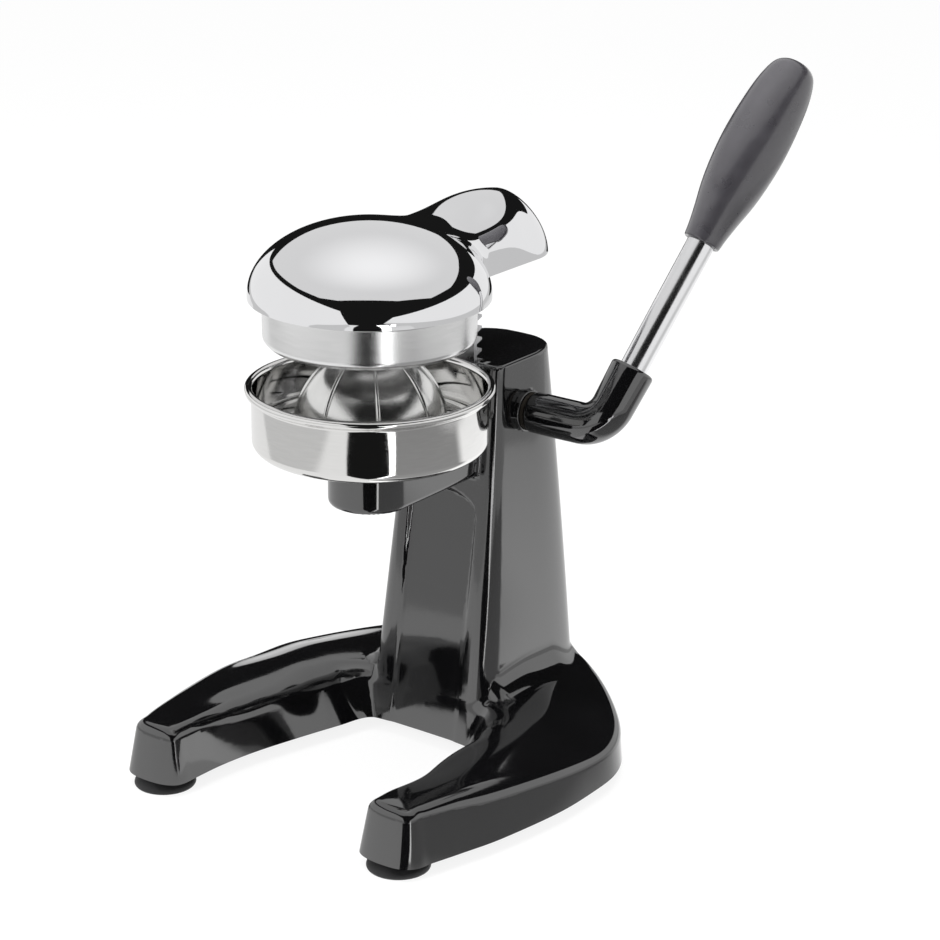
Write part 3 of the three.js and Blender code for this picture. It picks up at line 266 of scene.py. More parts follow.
def blend(value, stops, levels):
    """Levels between stops, eased in and out."""
    result = np.full(np.shape(value), float(levels[0]))
    for k in range(len(stops) - 1):
        t = np.clip((value - stops[k]) / (stops[k + 1] - stops[k]), 0, 1)
        result += (levels[k + 1] - levels[k]) * t * t * (3 - 2 * t)
    return result


CUBE = [np.array((i, j, k)) for i in (0, 1) for j in (0, 1) for k in (0, 1)]


def skin(name, field, low, high, step, trim, rounds=5):
    """A smooth skin where a field is zero: a net of cells, settled on the field and cut level at trim."""
    low = np.array(low, float) - 1.5 * step
    sizes = np.ceil((np.array(high, float) + 1.5 * step - low) / step).astype(int) + 1
    axes = [low[d] + step * np.arange(sizes[d]) for d in range(3)]
    value = np.empty(sizes)
    for i, x in enumerate(axes[0]):
        value[i] = field(np.full((1, 1), x), axes[1][:, None], axes[2][None, :])
    inside = value < 0
    count = sum(
        inside[c[0]:sizes[0] - 1 + c[0], c[1]:sizes[1] - 1 + c[1], c[2]:sizes[2] - 1 + c[2]].astype(int)
        for c in CUBE
    )
    active = (count > 0) & (count < 8)
    cells = np.argwhere(active)
    number = np.full(active.shape, -1)
    number[active] = np.arange(len(cells))
    total = np.zeros((len(cells), 3))
    hits = np.zeros((len(cells), 1))
    for a in CUBE:
        for d in range(3):
            if a[d]:
                continue
            b = a.copy()
            b[d] = 1
            va, vb = value[tuple((cells + a).T)], value[tuple((cells + b).T)]
            crossed = (va < 0) != (vb < 0)
            share = np.where(crossed, va / np.where(crossed, va - vb, 1), 0)
            total += crossed[:, None] * (a + share[:, None] * (b - a))
            hits += crossed[:, None]
    points = low + step * (cells + total / hits)
    faces = []
    for d in range(3):
        u, v = (d + 1) % 3, (d + 2) % 3
        first = np.take(inside, range(sizes[d] - 1), axis=d)
        second = np.take(inside, range(1, sizes[d]), axis=d)
        for flip, mask in ((False, first & ~second), (True, ~first & second)):
            nodes = np.argwhere(mask)
            eu, ev = np.eye(3, dtype=int)[u], np.eye(3, dtype=int)[v]
            quad = [number[tuple((nodes - o).T)] for o in (0 * eu, eu, eu + ev, ev)]
            quad = np.stack(quad[::-1] if flip else quad, axis=1)
            faces.append(quad[(quad >= 0).all(axis=1)])
    for _ in range(rounds):
        distance, slope = field(*points.T), gradient(field, points)
        move = distance[:, None] * slope / np.maximum((slope ** 2).sum(1), 1e-6)[:, None]
        length = np.linalg.norm(move, axis=1, keepdims=True)
        points -= move * np.minimum(1, 0.6 * step / np.maximum(length, 1e-9))
    obj = new_object(name, points, np.concatenate(faces).tolist())
    caps = trim_level(obj, trim)
    mesh = obj.data
    places = np.empty(len(mesh.vertices) * 3)
    mesh.vertices.foreach_get("co", places)
    normals = gradient(field, (places.reshape(-1, 3) - SHIFT) / UNIT)
    normals /= np.maximum(np.linalg.norm(normals, axis=1, keepdims=True), 1e-9)
    corners = np.empty(len(mesh.loops), int)
    mesh.loops.foreach_get("vertex_index", corners)
    corner_normals = normals[corners]
    for k in caps:
        face = mesh.polygons[k]
        corner_normals[list(face.loop_indices)] = (0, 0, -1)
    mesh.normals_split_custom_set(corner_normals.tolist())
    return obj


def trim_level(obj, height):
    """Cuts a skin off level at a height and closes it there. Gives the closing faces."""
    bm = bmesh.new()
    bm.from_mesh(obj.data)
    everything = bm.verts[:] + bm.edges[:] + bm.faces[:]
    cut = bmesh.ops.bisect_plane(bm, geom=everything, dist=1e-6, plane_co=(0, 0, height * UNIT),
                                 plane_no=(0, 0, -1), clear_outer=True)
    rim = [e for e in cut["geom_cut"] if isinstance(e, bmesh.types.BMEdge)]
    filled = bmesh.ops.triangle_fill(bm, edges=rim, normal=(0, 0, -1), use_beauty=False, use_dissolve=False)
    caps = [f for f in filled["geom"] if isinstance(f, bmesh.types.BMFace)]
    for face in caps:
        face.smooth = False
        if face.normal.z > 0:
            face.normal_flip()
    bm.faces.index_update()
    indices = [f.index for f in caps]
    bm.to_mesh(obj.data)
    bm.free()
    return indices


def gradient(field, points, reach=0.08):
    result = np.empty_like(points)
    for d in range(3):
        offset = np.zeros(3)
        offset[d] = reach
        result[:, d] = (field(*(points + offset).T) - field(*(points - offset).T)) / (2 * reach)
    return result


# Plan of the base: stations from the rear to a leg's tip, as shares of half width and length
OUTER_PLAN = [
    (0, 1), (0.278, 0.973), (0.517, 0.908), (0.736, 0.821), (0.895, 0.732), (0.98, 0.64),
    (1, 0.529), (0.994, 0.408), (0.942, 0.244), (0.89, 0.148), (0.837, 0.061),
]
TIP_PLAN = [
    (0.828, 0.036), (0.8, 0.016), (0.755, 0.004), (0.7, 0), (0.63, 0), (0.565, 0.006),
    (0.52, 0.02), (0.503, 0.04),
]
INNER_PLAN = [
    (0, 0.568), (0.1, 0.567), (0.199, 0.5645), (0.278, 0.556), (0.313, 0.529), (0.336, 0.483),
    (0.373, 0.423), (0.4125, 0.355), (0.465, 0.254), (0.495, 0.157), (0.502, 0.0657),
]


def curve_through(p, steps):
    """Points on a smooth curve from the second of p up to the last but one, without that one."""
    result = []
    for a, b, c, d in zip(p, p[1:], p[2:], p[3:]):
        for t in np.arange(steps) / steps:
            result.append(0.5 * (2 * b + (c - a) * t + (2 * a - 5 * b + 4 * c - d) * t ** 2
                                 + (3 * b - a - 3 * c + d) * t ** 3))
    return result


def plan_curve(shares):
    """A smooth curve through plan shares, in millimetres."""
    p = np.array([(x * BASE_HALF_WIDTH, y * BASE_LENGTH - LEG_REACH) for x, y in shares])
    p = np.vstack([2 * p[0] - p[1], p, 2 * p[-1] - p[-2]])
    return np.array(curve_through(p, 12) + [p[-2]])


def ease(value, low, high):
    t = np.clip((value - low) / (high - low), 0, 1)
    return t * t * (3 - 2 * t)


def mix(pair, share):
    return pair[0] + (pair[1] - pair[0]) * share


# Each size of the base at a leg's tip, along the leg, at the widest place, at the rear and inside the legs
WALL_LEANS = (0.184, 0.229, 0.075, 0.05, 0.253)
EDGE_ROUNDS = (3.9, 7.0, 4.5, 3.6, 7.2)
EDGE_INSETS = (5.8, 10.2, 7.6, 5.0, 12.8)
EDGE_TOPS = (30.4, 30.4, 21.6, 29.0, 28.4)
CROWNS = (31.0, 30.4)
INNER_SWEEP = 6.5
INNER_WALL = 16.6
CROWN_POWER = 1.4


def level(sizes, column_share, outer_share):
    """A size of the base where a wall is this near to the column and this far round the tip."""
    at_tip, leg, side, rear, inside = sizes
    tip = 1 - ease(column_share, 0, 0.2)
    outer = mix((mix((leg, at_tip), tip), side), ease(column_share, 0.12, 0.47))
    outer = mix((outer, rear), ease(column_share, 0.55, 0.92))
    return mix((mix((inside, at_tip), tip), outer), outer_share)


def nearest_on(curve, column_share, outer_share, spots):
    """Distance from each spot to a curve, and the two shares at its nearest point."""
    best = np.full(len(spots), 1e9)
    shares = np.zeros((2, len(spots)))
    for k in range(len(curve) - 1):
        along = curve[k + 1] - curve[k]
        t = np.clip(((spots - curve[k]) @ along) / max(along @ along, 1e-9), 0, 1)
        far = np.linalg.norm(spots - curve[k] - t[:, None] * along, axis=1)
        closer = far < best
        best[closer] = far[closer]
        shares[0, closer] = mix(column_share[k:k + 2], t[closer])
        shares[1, closer] = mix(outer_share[k:k + 2], t[closer])
    return best, shares[0], shares[1]


def encloses(outline, spots):
    inside = np.zeros(len(spots), bool)
    for a, b in zip(outline, np.roll(outline, -1, axis=0)):
        crosses = (a[1] > spots[:, 1]) != (b[1] > spots[:, 1])
        if a[1] != b[1]:
            reached = a[0] + (b[0] - a[0]) * (spots[:, 1] - a[1]) / (b[1] - a[1])
            inside ^= crosses & (spots[:, 0] < reached)
    return inside


# What comes off the base's walls, then the grid's step, corner and size, and its rounds of smoothing
BASE_TRIM = 0.25
PLAN_STEP = 1.5
PLAN_LOW = np.array([-4.5, -91.5])
PLAN_COUNT = (79, 156)
PLAN_SMOOTHING = 8


def plan_tables():
    """Inset, lean, rounding and top of the base on a grid over its right half."""
    x = np.abs(PLAN_LOW[0] + PLAN_STEP * np.arange(PLAN_COUNT[0]))
    y = PLAN_LOW[1] + PLAN_STEP * np.arange(PLAN_COUNT[1])
    spots = np.stack(np.meshgrid(x, y, indexing="ij"), axis=-1).reshape(-1, 2)
    outer, inner = plan_curve(OUTER_PLAN), plan_curve(INNER_PLAN)
    tip = plan_curve(OUTER_PLAN[-1:] + TIP_PLAN + INNER_PLAN[-1:])
    walls = np.vstack([outer, tip[1:]])
    wall_column = np.append(np.linspace(1, 0, len(outer)), np.zeros(len(tip) - 1))
    wall_outer = np.append(np.ones(len(outer)), np.linspace(1, 0, len(tip))[1:])
    far_out, column_out, outer_out = nearest_on(walls, wall_column, wall_outer, spots)
    inner_column, inner_outer = np.linspace(1, 0, len(inner)), np.zeros(len(inner))
    far_in, column_in, outer_in = nearest_on(inner, inner_column, inner_outer, spots)
    sweep = INNER_SWEEP * ease(column_in, 0.2, 0.45) * (1 - ease(column_in, 0.55, 0.75))
    half = (far_out + far_in) / 2
    crown = mix(CROWNS, np.minimum(1, 2 * column_out))
    top = crown
    walls_seen = ((far_out, column_out, outer_out, 0), (far_in, column_in, outer_in, sweep))
    for far, column, share, extra in walls_seen:
        edge = level(EDGE_INSETS, column, share) + extra
        fall = 1 - np.clip((far - edge) / np.maximum(half - edge, 1), 0, 1)
        top = top - (crown - level(EDGE_TOPS, column, share)) * fall ** CROWN_POWER
    outside = far_out < far_in
    column = np.where(outside, column_out, column_in)
    share = np.where(outside, outer_out, outer_in)
    lean = level(WALL_LEANS, column, share) + np.where(outside, 0, sweep / INNER_WALL)
    rounding = level(EDGE_ROUNDS, column, share)
    inset = np.minimum(far_out, far_in) * np.where(encloses(np.vstack([walls, inner[::-1]]), spots), 1, -1)
    tables = np.stack([inset, lean, rounding, top]).reshape(4, *PLAN_COUNT)
    for _ in range(PLAN_SMOOTHING):
        for axis in (1, 2):
            before, after = np.roll(tables[1:], 1, axis), np.roll(tables[1:], -1, axis)
            tables[1:] = tables[1:] / 2 + (before + after) / 4
    return tables


PLAN = plan_tables()


def plan_at(x, y):
    """The grid's values at a place, as smooth surfaces of cubic pieces."""
    gx, gy = (np.abs(x) - PLAN_LOW[0]) / PLAN_STEP, (y - PLAN_LOW[1]) / PLAN_STEP
    ix = np.clip(np.floor(gx).astype(int), 1, PLAN_COUNT[0] - 3)
    iy = np.clip(np.floor(gy).astype(int), 1, PLAN_COUNT[1] - 3)
    weights = []
    for t in (gx - ix, gy - iy):
        weights.append([(1 - t) ** 3 / 6, (3 * t ** 3 - 6 * t ** 2 + 4) / 6,
                        (3 * (t ** 2 + t - t ** 3) + 1) / 6, t ** 3 / 6])
    return sum(
        weights[0][i] * weights[1][j] * PLAN[:, ix + i - 1, iy + j - 1]
        for i in range(4) for j in range(4)
    )


def base_field(x, y, z):
    inset, lean, rounding, top = plan_at(x, y)
    wall = (lean * (z - BASE_UNDERSIDE) - inset + BASE_TRIM) / np.sqrt(1 + lean ** 2)
    return cut_edge(wall, z - top, rounding)


def column_front(z):
    return mix(COLUMN_FRONT, (z - BASE_UNDERSIDE) / (COLUMN_TOP - BASE_UNDERSIDE))


def column_field(x, y, z):
    share = np.clip((z - BASE_UNDERSIDE) / (COLUMN_TOP - BASE_UNDERSIDE), 0, 1.05)
    half = mix(COLUMN_HALF_WIDTH, share)
    front = column_front(z)
    back = mix(COLUMN_BACK, share ** 1.6)
    corner = mix(COLUMN_CORNER, share)
    power = mix(COLUMN_POWER, share ** 0.8)
    middle = front + FRONT_SHARE * (back - front)
    across, ahead = np.abs(x) - half + corner, front + corner - y
    boxed = np.minimum(np.maximum(across, ahead), 0) - corner
    boxed = boxed + np.hypot(np.maximum(across, 0), np.maximum(ahead, 0))
    behind = np.maximum(y - middle, 0) / (back - middle)
    rounded = ((np.abs(x) / half) ** power + behind ** power) ** (1 / power)
    side = np.where(y < middle, boxed, (rounded - 1) * half)
    return cut_edge(side, z - COLUMN_TOP, COLUMN_EDGE)


def stand_field(x, y, z):
    base, column = base_field(x, y, z), column_field(x, y, z)
    body = join_edge(base, column, FRONT_FILLET)
    flare = join_edge(base, column, blend(y, FLARE_FADE, (FLARE, REAR_FILLET)))
    body = np.minimum(body, cut_edge(flare, FLARE_FRONT - y, FLARE_FRONT_ROUNDING))
    cavity = body + CAST_WALL
    for fx, fy in FOOT_PLACES.values():
        cavity = np.maximum(cavity, FOOT_BOSS - np.hypot(x - fx, y - fy))

    # Bracket with its nose, the seat of the bowl and the bore for the spout
    radius = np.hypot(x, y)
    nose = np.where(y < 0, radius, np.abs(x)) - BRACKET_HALF_WIDTH
    nose = cut_edge(nose, BRACKET_BOTTOM - z, BRACKET_EDGE)
    seat = SEAT_HEIGHT + SEAT_RISE * np.maximum(radius - SEAT_INNER, 0) / SEAT_WIDTH
    nose = cut_edge(nose, z - np.minimum(BRACKET_TOP, seat), CAST_EDGE)
    nose = np.maximum(nose, y - BRACKET_BACK)
    body = join_edge(body, nose, BRACKET_FILLET)
    body = cut_edge(body, SPOUT_BORE - radius, SMALL_EDGE)

    # Recess in the column's front, with an arched top
    arch = RECESS_TOP - RECESS_ARCH_RISE * (1 - np.sqrt(np.clip(1 - (x / RECESS_HALF_WIDTH) ** 2, 0, 1)))
    upwards = (z - RECESS_BOTTOM) / (RECESS_ARCH - RECESS_BOTTOM)
    depth = RECESS_DEPTH * np.minimum(mix((RECESS_LEAST_SHARE, 1), upwards), 1)
    depth = depth - RECESS_FADE * (1 - ease(z, RECESS_BOTTOM, RECESS_ARCH))
    recess = cut_edge(np.abs(x) - RECESS_HALF_WIDTH, y - column_front(z) - depth, RECESS_ROUNDING)
    recess = cut_edge(recess, z - arch, RECESS_ROUNDING)
    body = cut_edge(body, -recess, RECESS_EDGE)

    # Wall in front of the rack and the slot for the rack
    guide = cut_edge(np.abs(x) - GUIDE_HALF_WIDTH, GUIDE_FRONT - y, CAST_EDGE)
    guide = cut_edge(guide, z - COLUMN_TOP, CAST_EDGE)
    guide = np.maximum(guide, np.maximum(y - GUIDE_BACK, GUIDE_LOW - z))
    body = join_edge(body, guide, CAST_EDGE)
    slot = np.maximum(np.abs(x) - SLOT_HALF_WIDTH, np.maximum(SLOT_FRONT - y, y - SLOT_BACK))
    slot = np.maximum(slot, BRACKET_BOTTOM - z)

    # Hollow inside, and bores for the bushes, which the bearing pads hide
    hub = np.hypot(y - SHAFT_BACK, z - SHAFT_HEIGHT)
    body = cut_edge(body, -cavity, CAST_EDGE)
    body = cut_edge(body, -slot, SMALL_EDGE)
    return np.maximum(body, np.minimum(BUSH_BORE + BORE_CLEARANCE - hub, np.abs(x) - BORE_START))


def head_sides(x, y, z):
    radius = np.hypot(x, y)
    dome = np.hypot(radius / DOME_RADIUS, np.maximum(z - DOME_SHOULDER, 0) / (DOME_TOP - DOME_SHOULDER))
    dome = np.where(z < DOME_SHOULDER, radius - DOME_RADIUS, (dome - 1) * DOME_SCALE)
    across = np.where(y < ARM_END, np.abs(x), np.hypot(x, y - ARM_END))
    end = 1 / (1 + np.exp((ARM_SWELL - y) / ARM_END_LENGTH))
    top = NECK_TOP + ARM_RISE * np.exp(-((y - ARM_SWELL) / ARM_SWELL_LENGTH) ** 2)
    shoulder = ARM_SHOULDER - ARM_SHOULDER_DROP * end
    power = 2 / (0.75 + 0.4 * end)
    lift = np.maximum(z - shoulder, 0) / (top - shoulder)
    arm = ((across / ARM_HALF_WIDTH) ** power + lift ** power) ** (1 / power)
    arm = np.where(z < shoulder, across - ARM_HALF_WIDTH, (arm - 1) * ARM_SCALE)
    arm = np.maximum(arm, ARM_START - y)
    return join_edge(dome, arm, HEAD_FILLET)


def head_field(x, y, z):
    sides = head_sides(x, y, z)
    inner = sides + HEAD_WALL
    pocket = np.maximum(inner, np.hypot(x, y) - SEAT_RADIUS)
    hood = np.maximum(inner, SLOT_FRONT - y)
    return cut_edge(sides, -np.minimum(pocket, hood), HEAD_EDGE)


# Materials

def empty_tree(owner):
    """The node tree of a material or a world, with nothing in it."""
    owner.use_nodes = True
    owner.node_tree.nodes.clear()
    return owner.node_tree


def add_node(tree, kind, operation=None, **values):
    """A new node with constants on its sockets, whose names have an underscore for each space."""
    node = tree.nodes.new(f"ShaderNode{kind}")
    if operation is not None:
        node.operation = operation
    for socket, value in values.items():
        node.inputs[socket.replace("_", " ")].default_value = value
    return node


def remap(tree, value, given, wanted, interpolation="LINEAR"):
    """A value taken from one range to another."""
    node = add_node(tree, "MapRange", From_Min=given[0], From_Max=given[1],
                    To_Min=wanted[0], To_Max=wanted[1])
    node.interpolation_type = interpolation
    tree.links.new(value, node.inputs["Value"])
    return node.outputs["Result"]


CLOUD_RANGE = (0.3, 0.7)
BUMP_DEPTH = 0.4


def surface(name, color, metallic=0.0, roughness=0.3, ior=None, grain=60.0, mottle=0.06, rough_spread=0.05,
            bump=0.0, bump_grain=900.0, stretch=(1, 1, 1), coat=0.0, coat_roughness=0.05):
    """A finish with soft clouds in its colour and polish and, where wanted, a fine grain in relief."""
    material = bpy.data.materials.new(name)
    material.use_nodes = True
    tree, links = material.node_tree, material.node_tree.links
    shader = tree.nodes["Principled BSDF"]
    shader.inputs["Metallic"].default_value = metallic
    shader.inputs["Coat Weight"].default_value = coat
    shader.inputs["Coat Roughness"].default_value = coat_roughness
    if ior is not None:
        shader.inputs["IOR"].default_value = ior
    scale = add_node(tree, "Mapping", Scale=stretch)
    links.new(add_node(tree, "TexCoord").outputs["Object"], scale.inputs["Vector"])
    cloud = add_node(tree, "TexNoise", Scale=grain, Detail=4)
    links.new(scale.outputs["Vector"], cloud.inputs["Vector"])
    tint = add_node(tree, "ValToRGB")
    for element, position, change in zip(tint.color_ramp.elements, CLOUD_RANGE, (-mottle, mottle)):
        element.position = position
        element.color = [min(1, c * (1 + change)) for c in color] + [1]
    links.new(cloud.outputs["Fac"], tint.inputs["Fac"])
    links.new(tint.outputs["Color"], shader.inputs["Base Color"])
    polish = (max(0, roughness - rough_spread), roughness + rough_spread)
    links.new(remap(tree, cloud.outputs["Fac"], CLOUD_RANGE, polish), shader.inputs["Roughness"])
    if bump:
        fine = add_node(tree, "TexNoise", Scale=bump_grain, Detail=3)
        links.new(scale.outputs["Vector"], fine.inputs["Vector"])
        relief = add_node(tree, "Bump", Strength=bump, Distance=BUMP_DEPTH * UNIT)
        links.new(fine.outputs["Fac"], relief.inputs["Height"])
        links.new(relief.outputs["Normal"], shader.inputs["Normal"])
    return material


enamel = surface("black_enamel", (0.0045, 0.0045, 0.005), roughness=0.07, rough_spread=0.02, ior=2.1,
                 grain=25, mottle=0.2, bump=0.02, bump_grain=260)
mirror_chrome = surface("mirror_chrome", (0.80, 0.80, 0.81), metallic=1, roughness=0.03, rough_spread=0.012,
                        grain=30, mottle=0.01)
tube_chrome = surface("tube_chrome", (0.82, 0.82, 0.83), metallic=1, roughness=0.17, rough_spread=0.03,
                      grain=90, mottle=0.02)
polished_steel = surface("polished_steel", (0.76, 0.755, 0.745), metallic=1, roughness=0.06,
                         rough_spread=0.02, grain=120, mottle=0.02, stretch=(1, 1, 12), bump=0.01,
                         bump_grain=700)
satin = surface("satin_aluminium", (0.80, 0.80, 0.80), metallic=1, roughness=0.24, rough_spread=0.02,
                grain=60, mottle=0.02, stretch=(1, 1, 9), bump=0.012, bump_grain=420)
cast_bright = surface("cast_strainer", (0.72, 0.72, 0.71), metallic=1, roughness=0.2, rough_spread=0.05,
                      grain=90, mottle=0.05, bump=0.06, bump_grain=600)
machined = surface("machined_steel", (0.55, 0.55, 0.56), metallic=1, roughness=0.3, rough_spread=0.06,
                   grain=200, mottle=0.06, stretch=(1, 8, 1), bump=0.05, bump_grain=1800)
bronze = surface("bush_bronze", (0.035, 0.029, 0.023), metallic=0.6, roughness=0.45, rough_spread=0.08,
                 grain=400, mottle=0.15, bump=0.1, bump_grain=2500)
rubber = surface("foot_rubber", (0.012, 0.012, 0.013), roughness=0.55, rough_spread=0.08, grain=200,
                 mottle=0.2, bump=0.15, bump_grain=1500)
grip_satin = surface("grip_satin", (0.05, 0.047, 0.055), roughness=0.3, rough_spread=0.04, grain=150,
                     ior=1.7, mottle=0.08, bump=0.05, bump_grain=2600, coat=0.5, coat_roughness=0.16)

# Stand
STAND_BOX = ((-101.5, -80, 6), (101.5, 128, 183.5))
STAND_STEP = 1.4
stand = skin("stand_shell", stand_field, *STAND_BOX, STAND_STEP, BASE_UNDERSIDE)
finish_piece(stand, enamel, "black_enamel", "stand", "stand_casting")
for side, side_name in ((-1, "left"), (1, "right")):
    pad = turned(f"bearing_pad_{side_name}", [
        (BUSH_BORE, PAD_ROOT), (PAD_RADIUS, PAD_ROOT), (PAD_RADIUS, PAD_FACE, 0.7),
        (BUSH_BORE, PAD_FACE, 0.2),
    ], place=(0, SHAFT_BACK, SHAFT_HEIGHT), axis=(side, 0, 0), turn=64, closed=True)
    finish_piece(pad, enamel, "black_enamel", "stand", "stand_casting")

# Rubber feet
for where_name, (foot_x, foot_y) in FOOT_PLACES.items():
    foot = turned(f"rubber_foot_{where_name}", [
        (2.7, 5.7), (2.7, 3.9, 0.2), (4.9, 3.9, 0.2), (4.9, 1.7, 0.3), (10.4, 0.1, 0.5), (13.6, 0.0, 0.4),
        (14.1, 0.9, 0.5), (13.7, 2.3, 0.7), (10.9, 4.5, 0.9), (9.5, 5.7, 0.3),
    ], place=(foot_x, foot_y, 0), turn=64, closed=True)
    finish_piece(foot, rubber, "foot_rubber", "stand", f"suction_foot_{where_name}")

# Bowl: wall, rolled rim and spout in one sheet
bowl = turned("bowl_sheet", [
    (9.6, 134.5, 0.4), (9.6, 147.2, 3), (12, 150.6, 3), (17.3, 152, 3), (49.6, 158, 2.4), (52.2, 160.6, 2.4),
    (52.2, 182.2, 0.6), (53.0, 183.0, 0.8), (55.0, 184.0, 1.2), (55.0, 186.6, 1.3), (52.4, 187.1, 1.2),
    (51.0, 185.4, 1.2), (51.0, 161, 2), (49.2, 159.3, 2), (17.3, 153.2, 3), (11, 151.6, 3), (8.4, 147.2, 2),
    (8.4, 134.5, 0.4),
], closed=True, turn=192)
finish_piece(bowl, polished_steel, "polished_steel", "stand", "juice_bowl")

# Press head
HEAD_BOX = ((-53.5, -53.5, 226.5), (53.5, 117.5, 260.5))
HEAD_STEP = 0.85
head = skin("head_shell", head_field, *HEAD_BOX, HEAD_STEP, HEAD_RIM)
finish_piece(head, mirror_chrome, "head_chrome", "press", "press_head")

# Cup with its bead under the dome, a crown and a hollow
CUP_OUTER = 46.8
CUP_INNER = 43.6
CUP_RIM = 206.7
CUP_HOLLOW = 206.9
CUP_BEAD = CUP_OUTER + 0.7
CROWN_FOOT = (41.5, 227.0)
CROWN_HEIGHT = 43.5
CROWN_RISE = 20.1
CROWN_START = math.asin(CROWN_RISE / CROWN_HEIGHT)
CROWN_WIDTH = CROWN_FOOT[0] / 0.886
CROWN_STEPS = 16
HOLLOW_HEIGHT = 39.3
crown = [(CROWN_WIDTH * math.cos(a), CUP_RIM + CROWN_HEIGHT * math.sin(a))
         for a in np.linspace(CROWN_START, math.pi / 2, CROWN_STEPS + 1)[1:-1]]
hollow = [(CUP_INNER * math.cos(a), CUP_HOLLOW + HOLLOW_HEIGHT * math.sin(a))
          for a in np.linspace(math.pi / 2, 0, CROWN_STEPS + 1)[1:]]
cup_corners = [
    (CUP_INNER, CUP_HOLLOW, 0.4), (CUP_OUTER - 2, CUP_RIM, 1), (CUP_OUTER, 208.9, 1.6),
    (CUP_OUTER, 224.3, 0.2), (CUP_BEAD, 225.0, 0.5), (CUP_BEAD, 226.8, 0.3), (*CROWN_FOOT, 1), *crown,
    (0, CUP_RIM + CROWN_HEIGHT), (0, CUP_HOLLOW + HOLLOW_HEIGHT), *hollow,
]
cup = turned("cup_shell", cup_corners, turn=160)
finish_piece(cup, satin, "cup_aluminium", "press", "press_cup")


# Strainer: turned sheet, slots cut through it and ribs on the cone

CONE_RADIUS = 33
CONE_FOOT = 171.6
CONE_HEIGHT = 32.4
CONE_TOP = CONE_FOOT + CONE_HEIGHT
CONE_WALL = 3.0
CONE_STEPS = 24


def cone_point(share, lift=0.0):
    """Radius and height of the cone's skin at a share of the way up, moved in or out by lift."""
    angle = math.pi / 2 * share
    height = CONE_FOOT + CONE_HEIGHT * math.sin(angle) ** 1.25
    return CONE_RADIUS * math.cos(angle) + lift * (1 - share), height + lift * share


top_side = [cone_point(k / CONE_STEPS) for k in range(CONE_STEPS - 1, 0, -1)]
under_side = [cone_point(k / CONE_STEPS, -CONE_WALL) for k in range(CONE_STEPS)]
strainer = turned("strainer_sheet", [(0, CONE_TOP)] + top_side + [
    (CONE_RADIUS, 171.4, 1.5), (36.96, 170.2, 1.5), (45.7, 168, 0.8), (49.5, 168, 0.6), (50.3, 167.2, 0.5),
    (49.5, 160.1, 0.4), (48.0, 160.1, 0.4), (48.7, 166.4, 0.5), (45.7, 166.4, 0.8), (36.96, 167.2, 1.5),
] + under_side + [(0, CONE_TOP - CONE_WALL)], turn=160)
strainer.modifiers.clear()


def cutters(count, inner, outer, width, low, high):
    """Round-ended bars set round the axis, as one mesh to cut with."""
    points, faces = [], []
    for k in range(count):
        angle = 2 * math.pi * (k + 0.5) / count
        spin = np.array([[math.cos(angle), -math.sin(angle)], [math.sin(angle), math.cos(angle)]])
        ring = []
        for centre, start in ((outer - width / 2, -math.pi / 2), (inner + width / 2, math.pi / 2)):
            ring += [(centre + width / 2 * math.cos(a), width / 2 * math.sin(a))
                     for a in (start + math.pi * j / 8 for j in range(9))]
        ring = np.array(ring) @ spin.T
        first, n = len(points), len(ring)
        points += [(x, y, low) for x, y in ring] + [(x, y, high) for x, y in ring]
        faces.append(tuple(first + j for j in range(n))[::-1])
        faces.append(tuple(first + n + j for j in range(n)))
        for j in range(n):
            following = first + (j + 1) % n
            faces.append((first + j, following, following + n, first + n + j))
    return new_object("slot_cutters", points, faces, smooth=False)


SLOT_COUNT = 16
SLOT_REACH = (34.5, 44.5)
SLOT_WIDTH = 2.3
SLOT_CUT = (162, 180)
slots = cutters(SLOT_COUNT, *SLOT_REACH, SLOT_WIDTH, *SLOT_CUT)
boolean = strainer.modifiers.new("slots", "BOOLEAN")
boolean.operation = "DIFFERENCE"
boolean.object = slots
boolean.solver = "EXACT"


def apply_modifiers(obj):
    graph = bpy.context.evaluated_depsgraph_get()
    mesh = bpy.data.meshes.new_from_object(obj.evaluated_get(graph))
    obj.modifiers.clear()
    obj.data = mesh


apply_modifiers(strainer)
bpy.data.objects.remove(slots)

RIB_COUNT = 8
RIB_HALF_WIDTH = 1.15
RIB_NARROWING = 0.45
RIB_HEIGHT = 1.5
RIB_SUNK = 0.4


def add_ribs(obj, count):
    """Rounded ribs up the cone, rising from its surface."""
    bm = bmesh.new()
    bm.from_mesh(obj.data)
    shares = np.linspace(0.02, 0.985, 20)
    for k in range(count):
        angle = 2 * math.pi * k / count
        out = np.array([math.cos(angle), math.sin(angle), 0])
        side = np.array([-math.sin(angle), math.cos(angle), 0])
        rings = []
        for share in shares:
            r, z = cone_point(share)
            ahead, behind = cone_point(min(1, share + 0.02)), cone_point(max(0, share - 0.02))
            along = np.array([ahead[0] - behind[0], ahead[1] - behind[1]])
            along /= np.linalg.norm(along)
            normal = out * along[1] + np.array([0, 0, -along[0]])
            width = RIB_HALF_WIDTH * (1 - RIB_NARROWING * share)
            ring = []
            for j in range(9):
                a = math.pi * j / 8
                p = out * r + np.array([0, 0, z]) + side * width * math.cos(a)
                ring.append(p + normal * (RIB_HEIGHT * math.sin(a) - RIB_SUNK))
            rings.append([bm.verts.new(p) for p in to_frame(ring)])
        for low, high in zip(rings, rings[1:]):
            for j in range(8):
                bm.faces.new((low[j], low[j + 1], high[j + 1], high[j])).smooth = True
        bm.faces.new(rings[0][::-1])
        bm.faces.new(rings[-1])
    bmesh.ops.recalc_face_normals(bm, faces=bm.faces)
    bm.to_mesh(obj.data)
    bm.free()


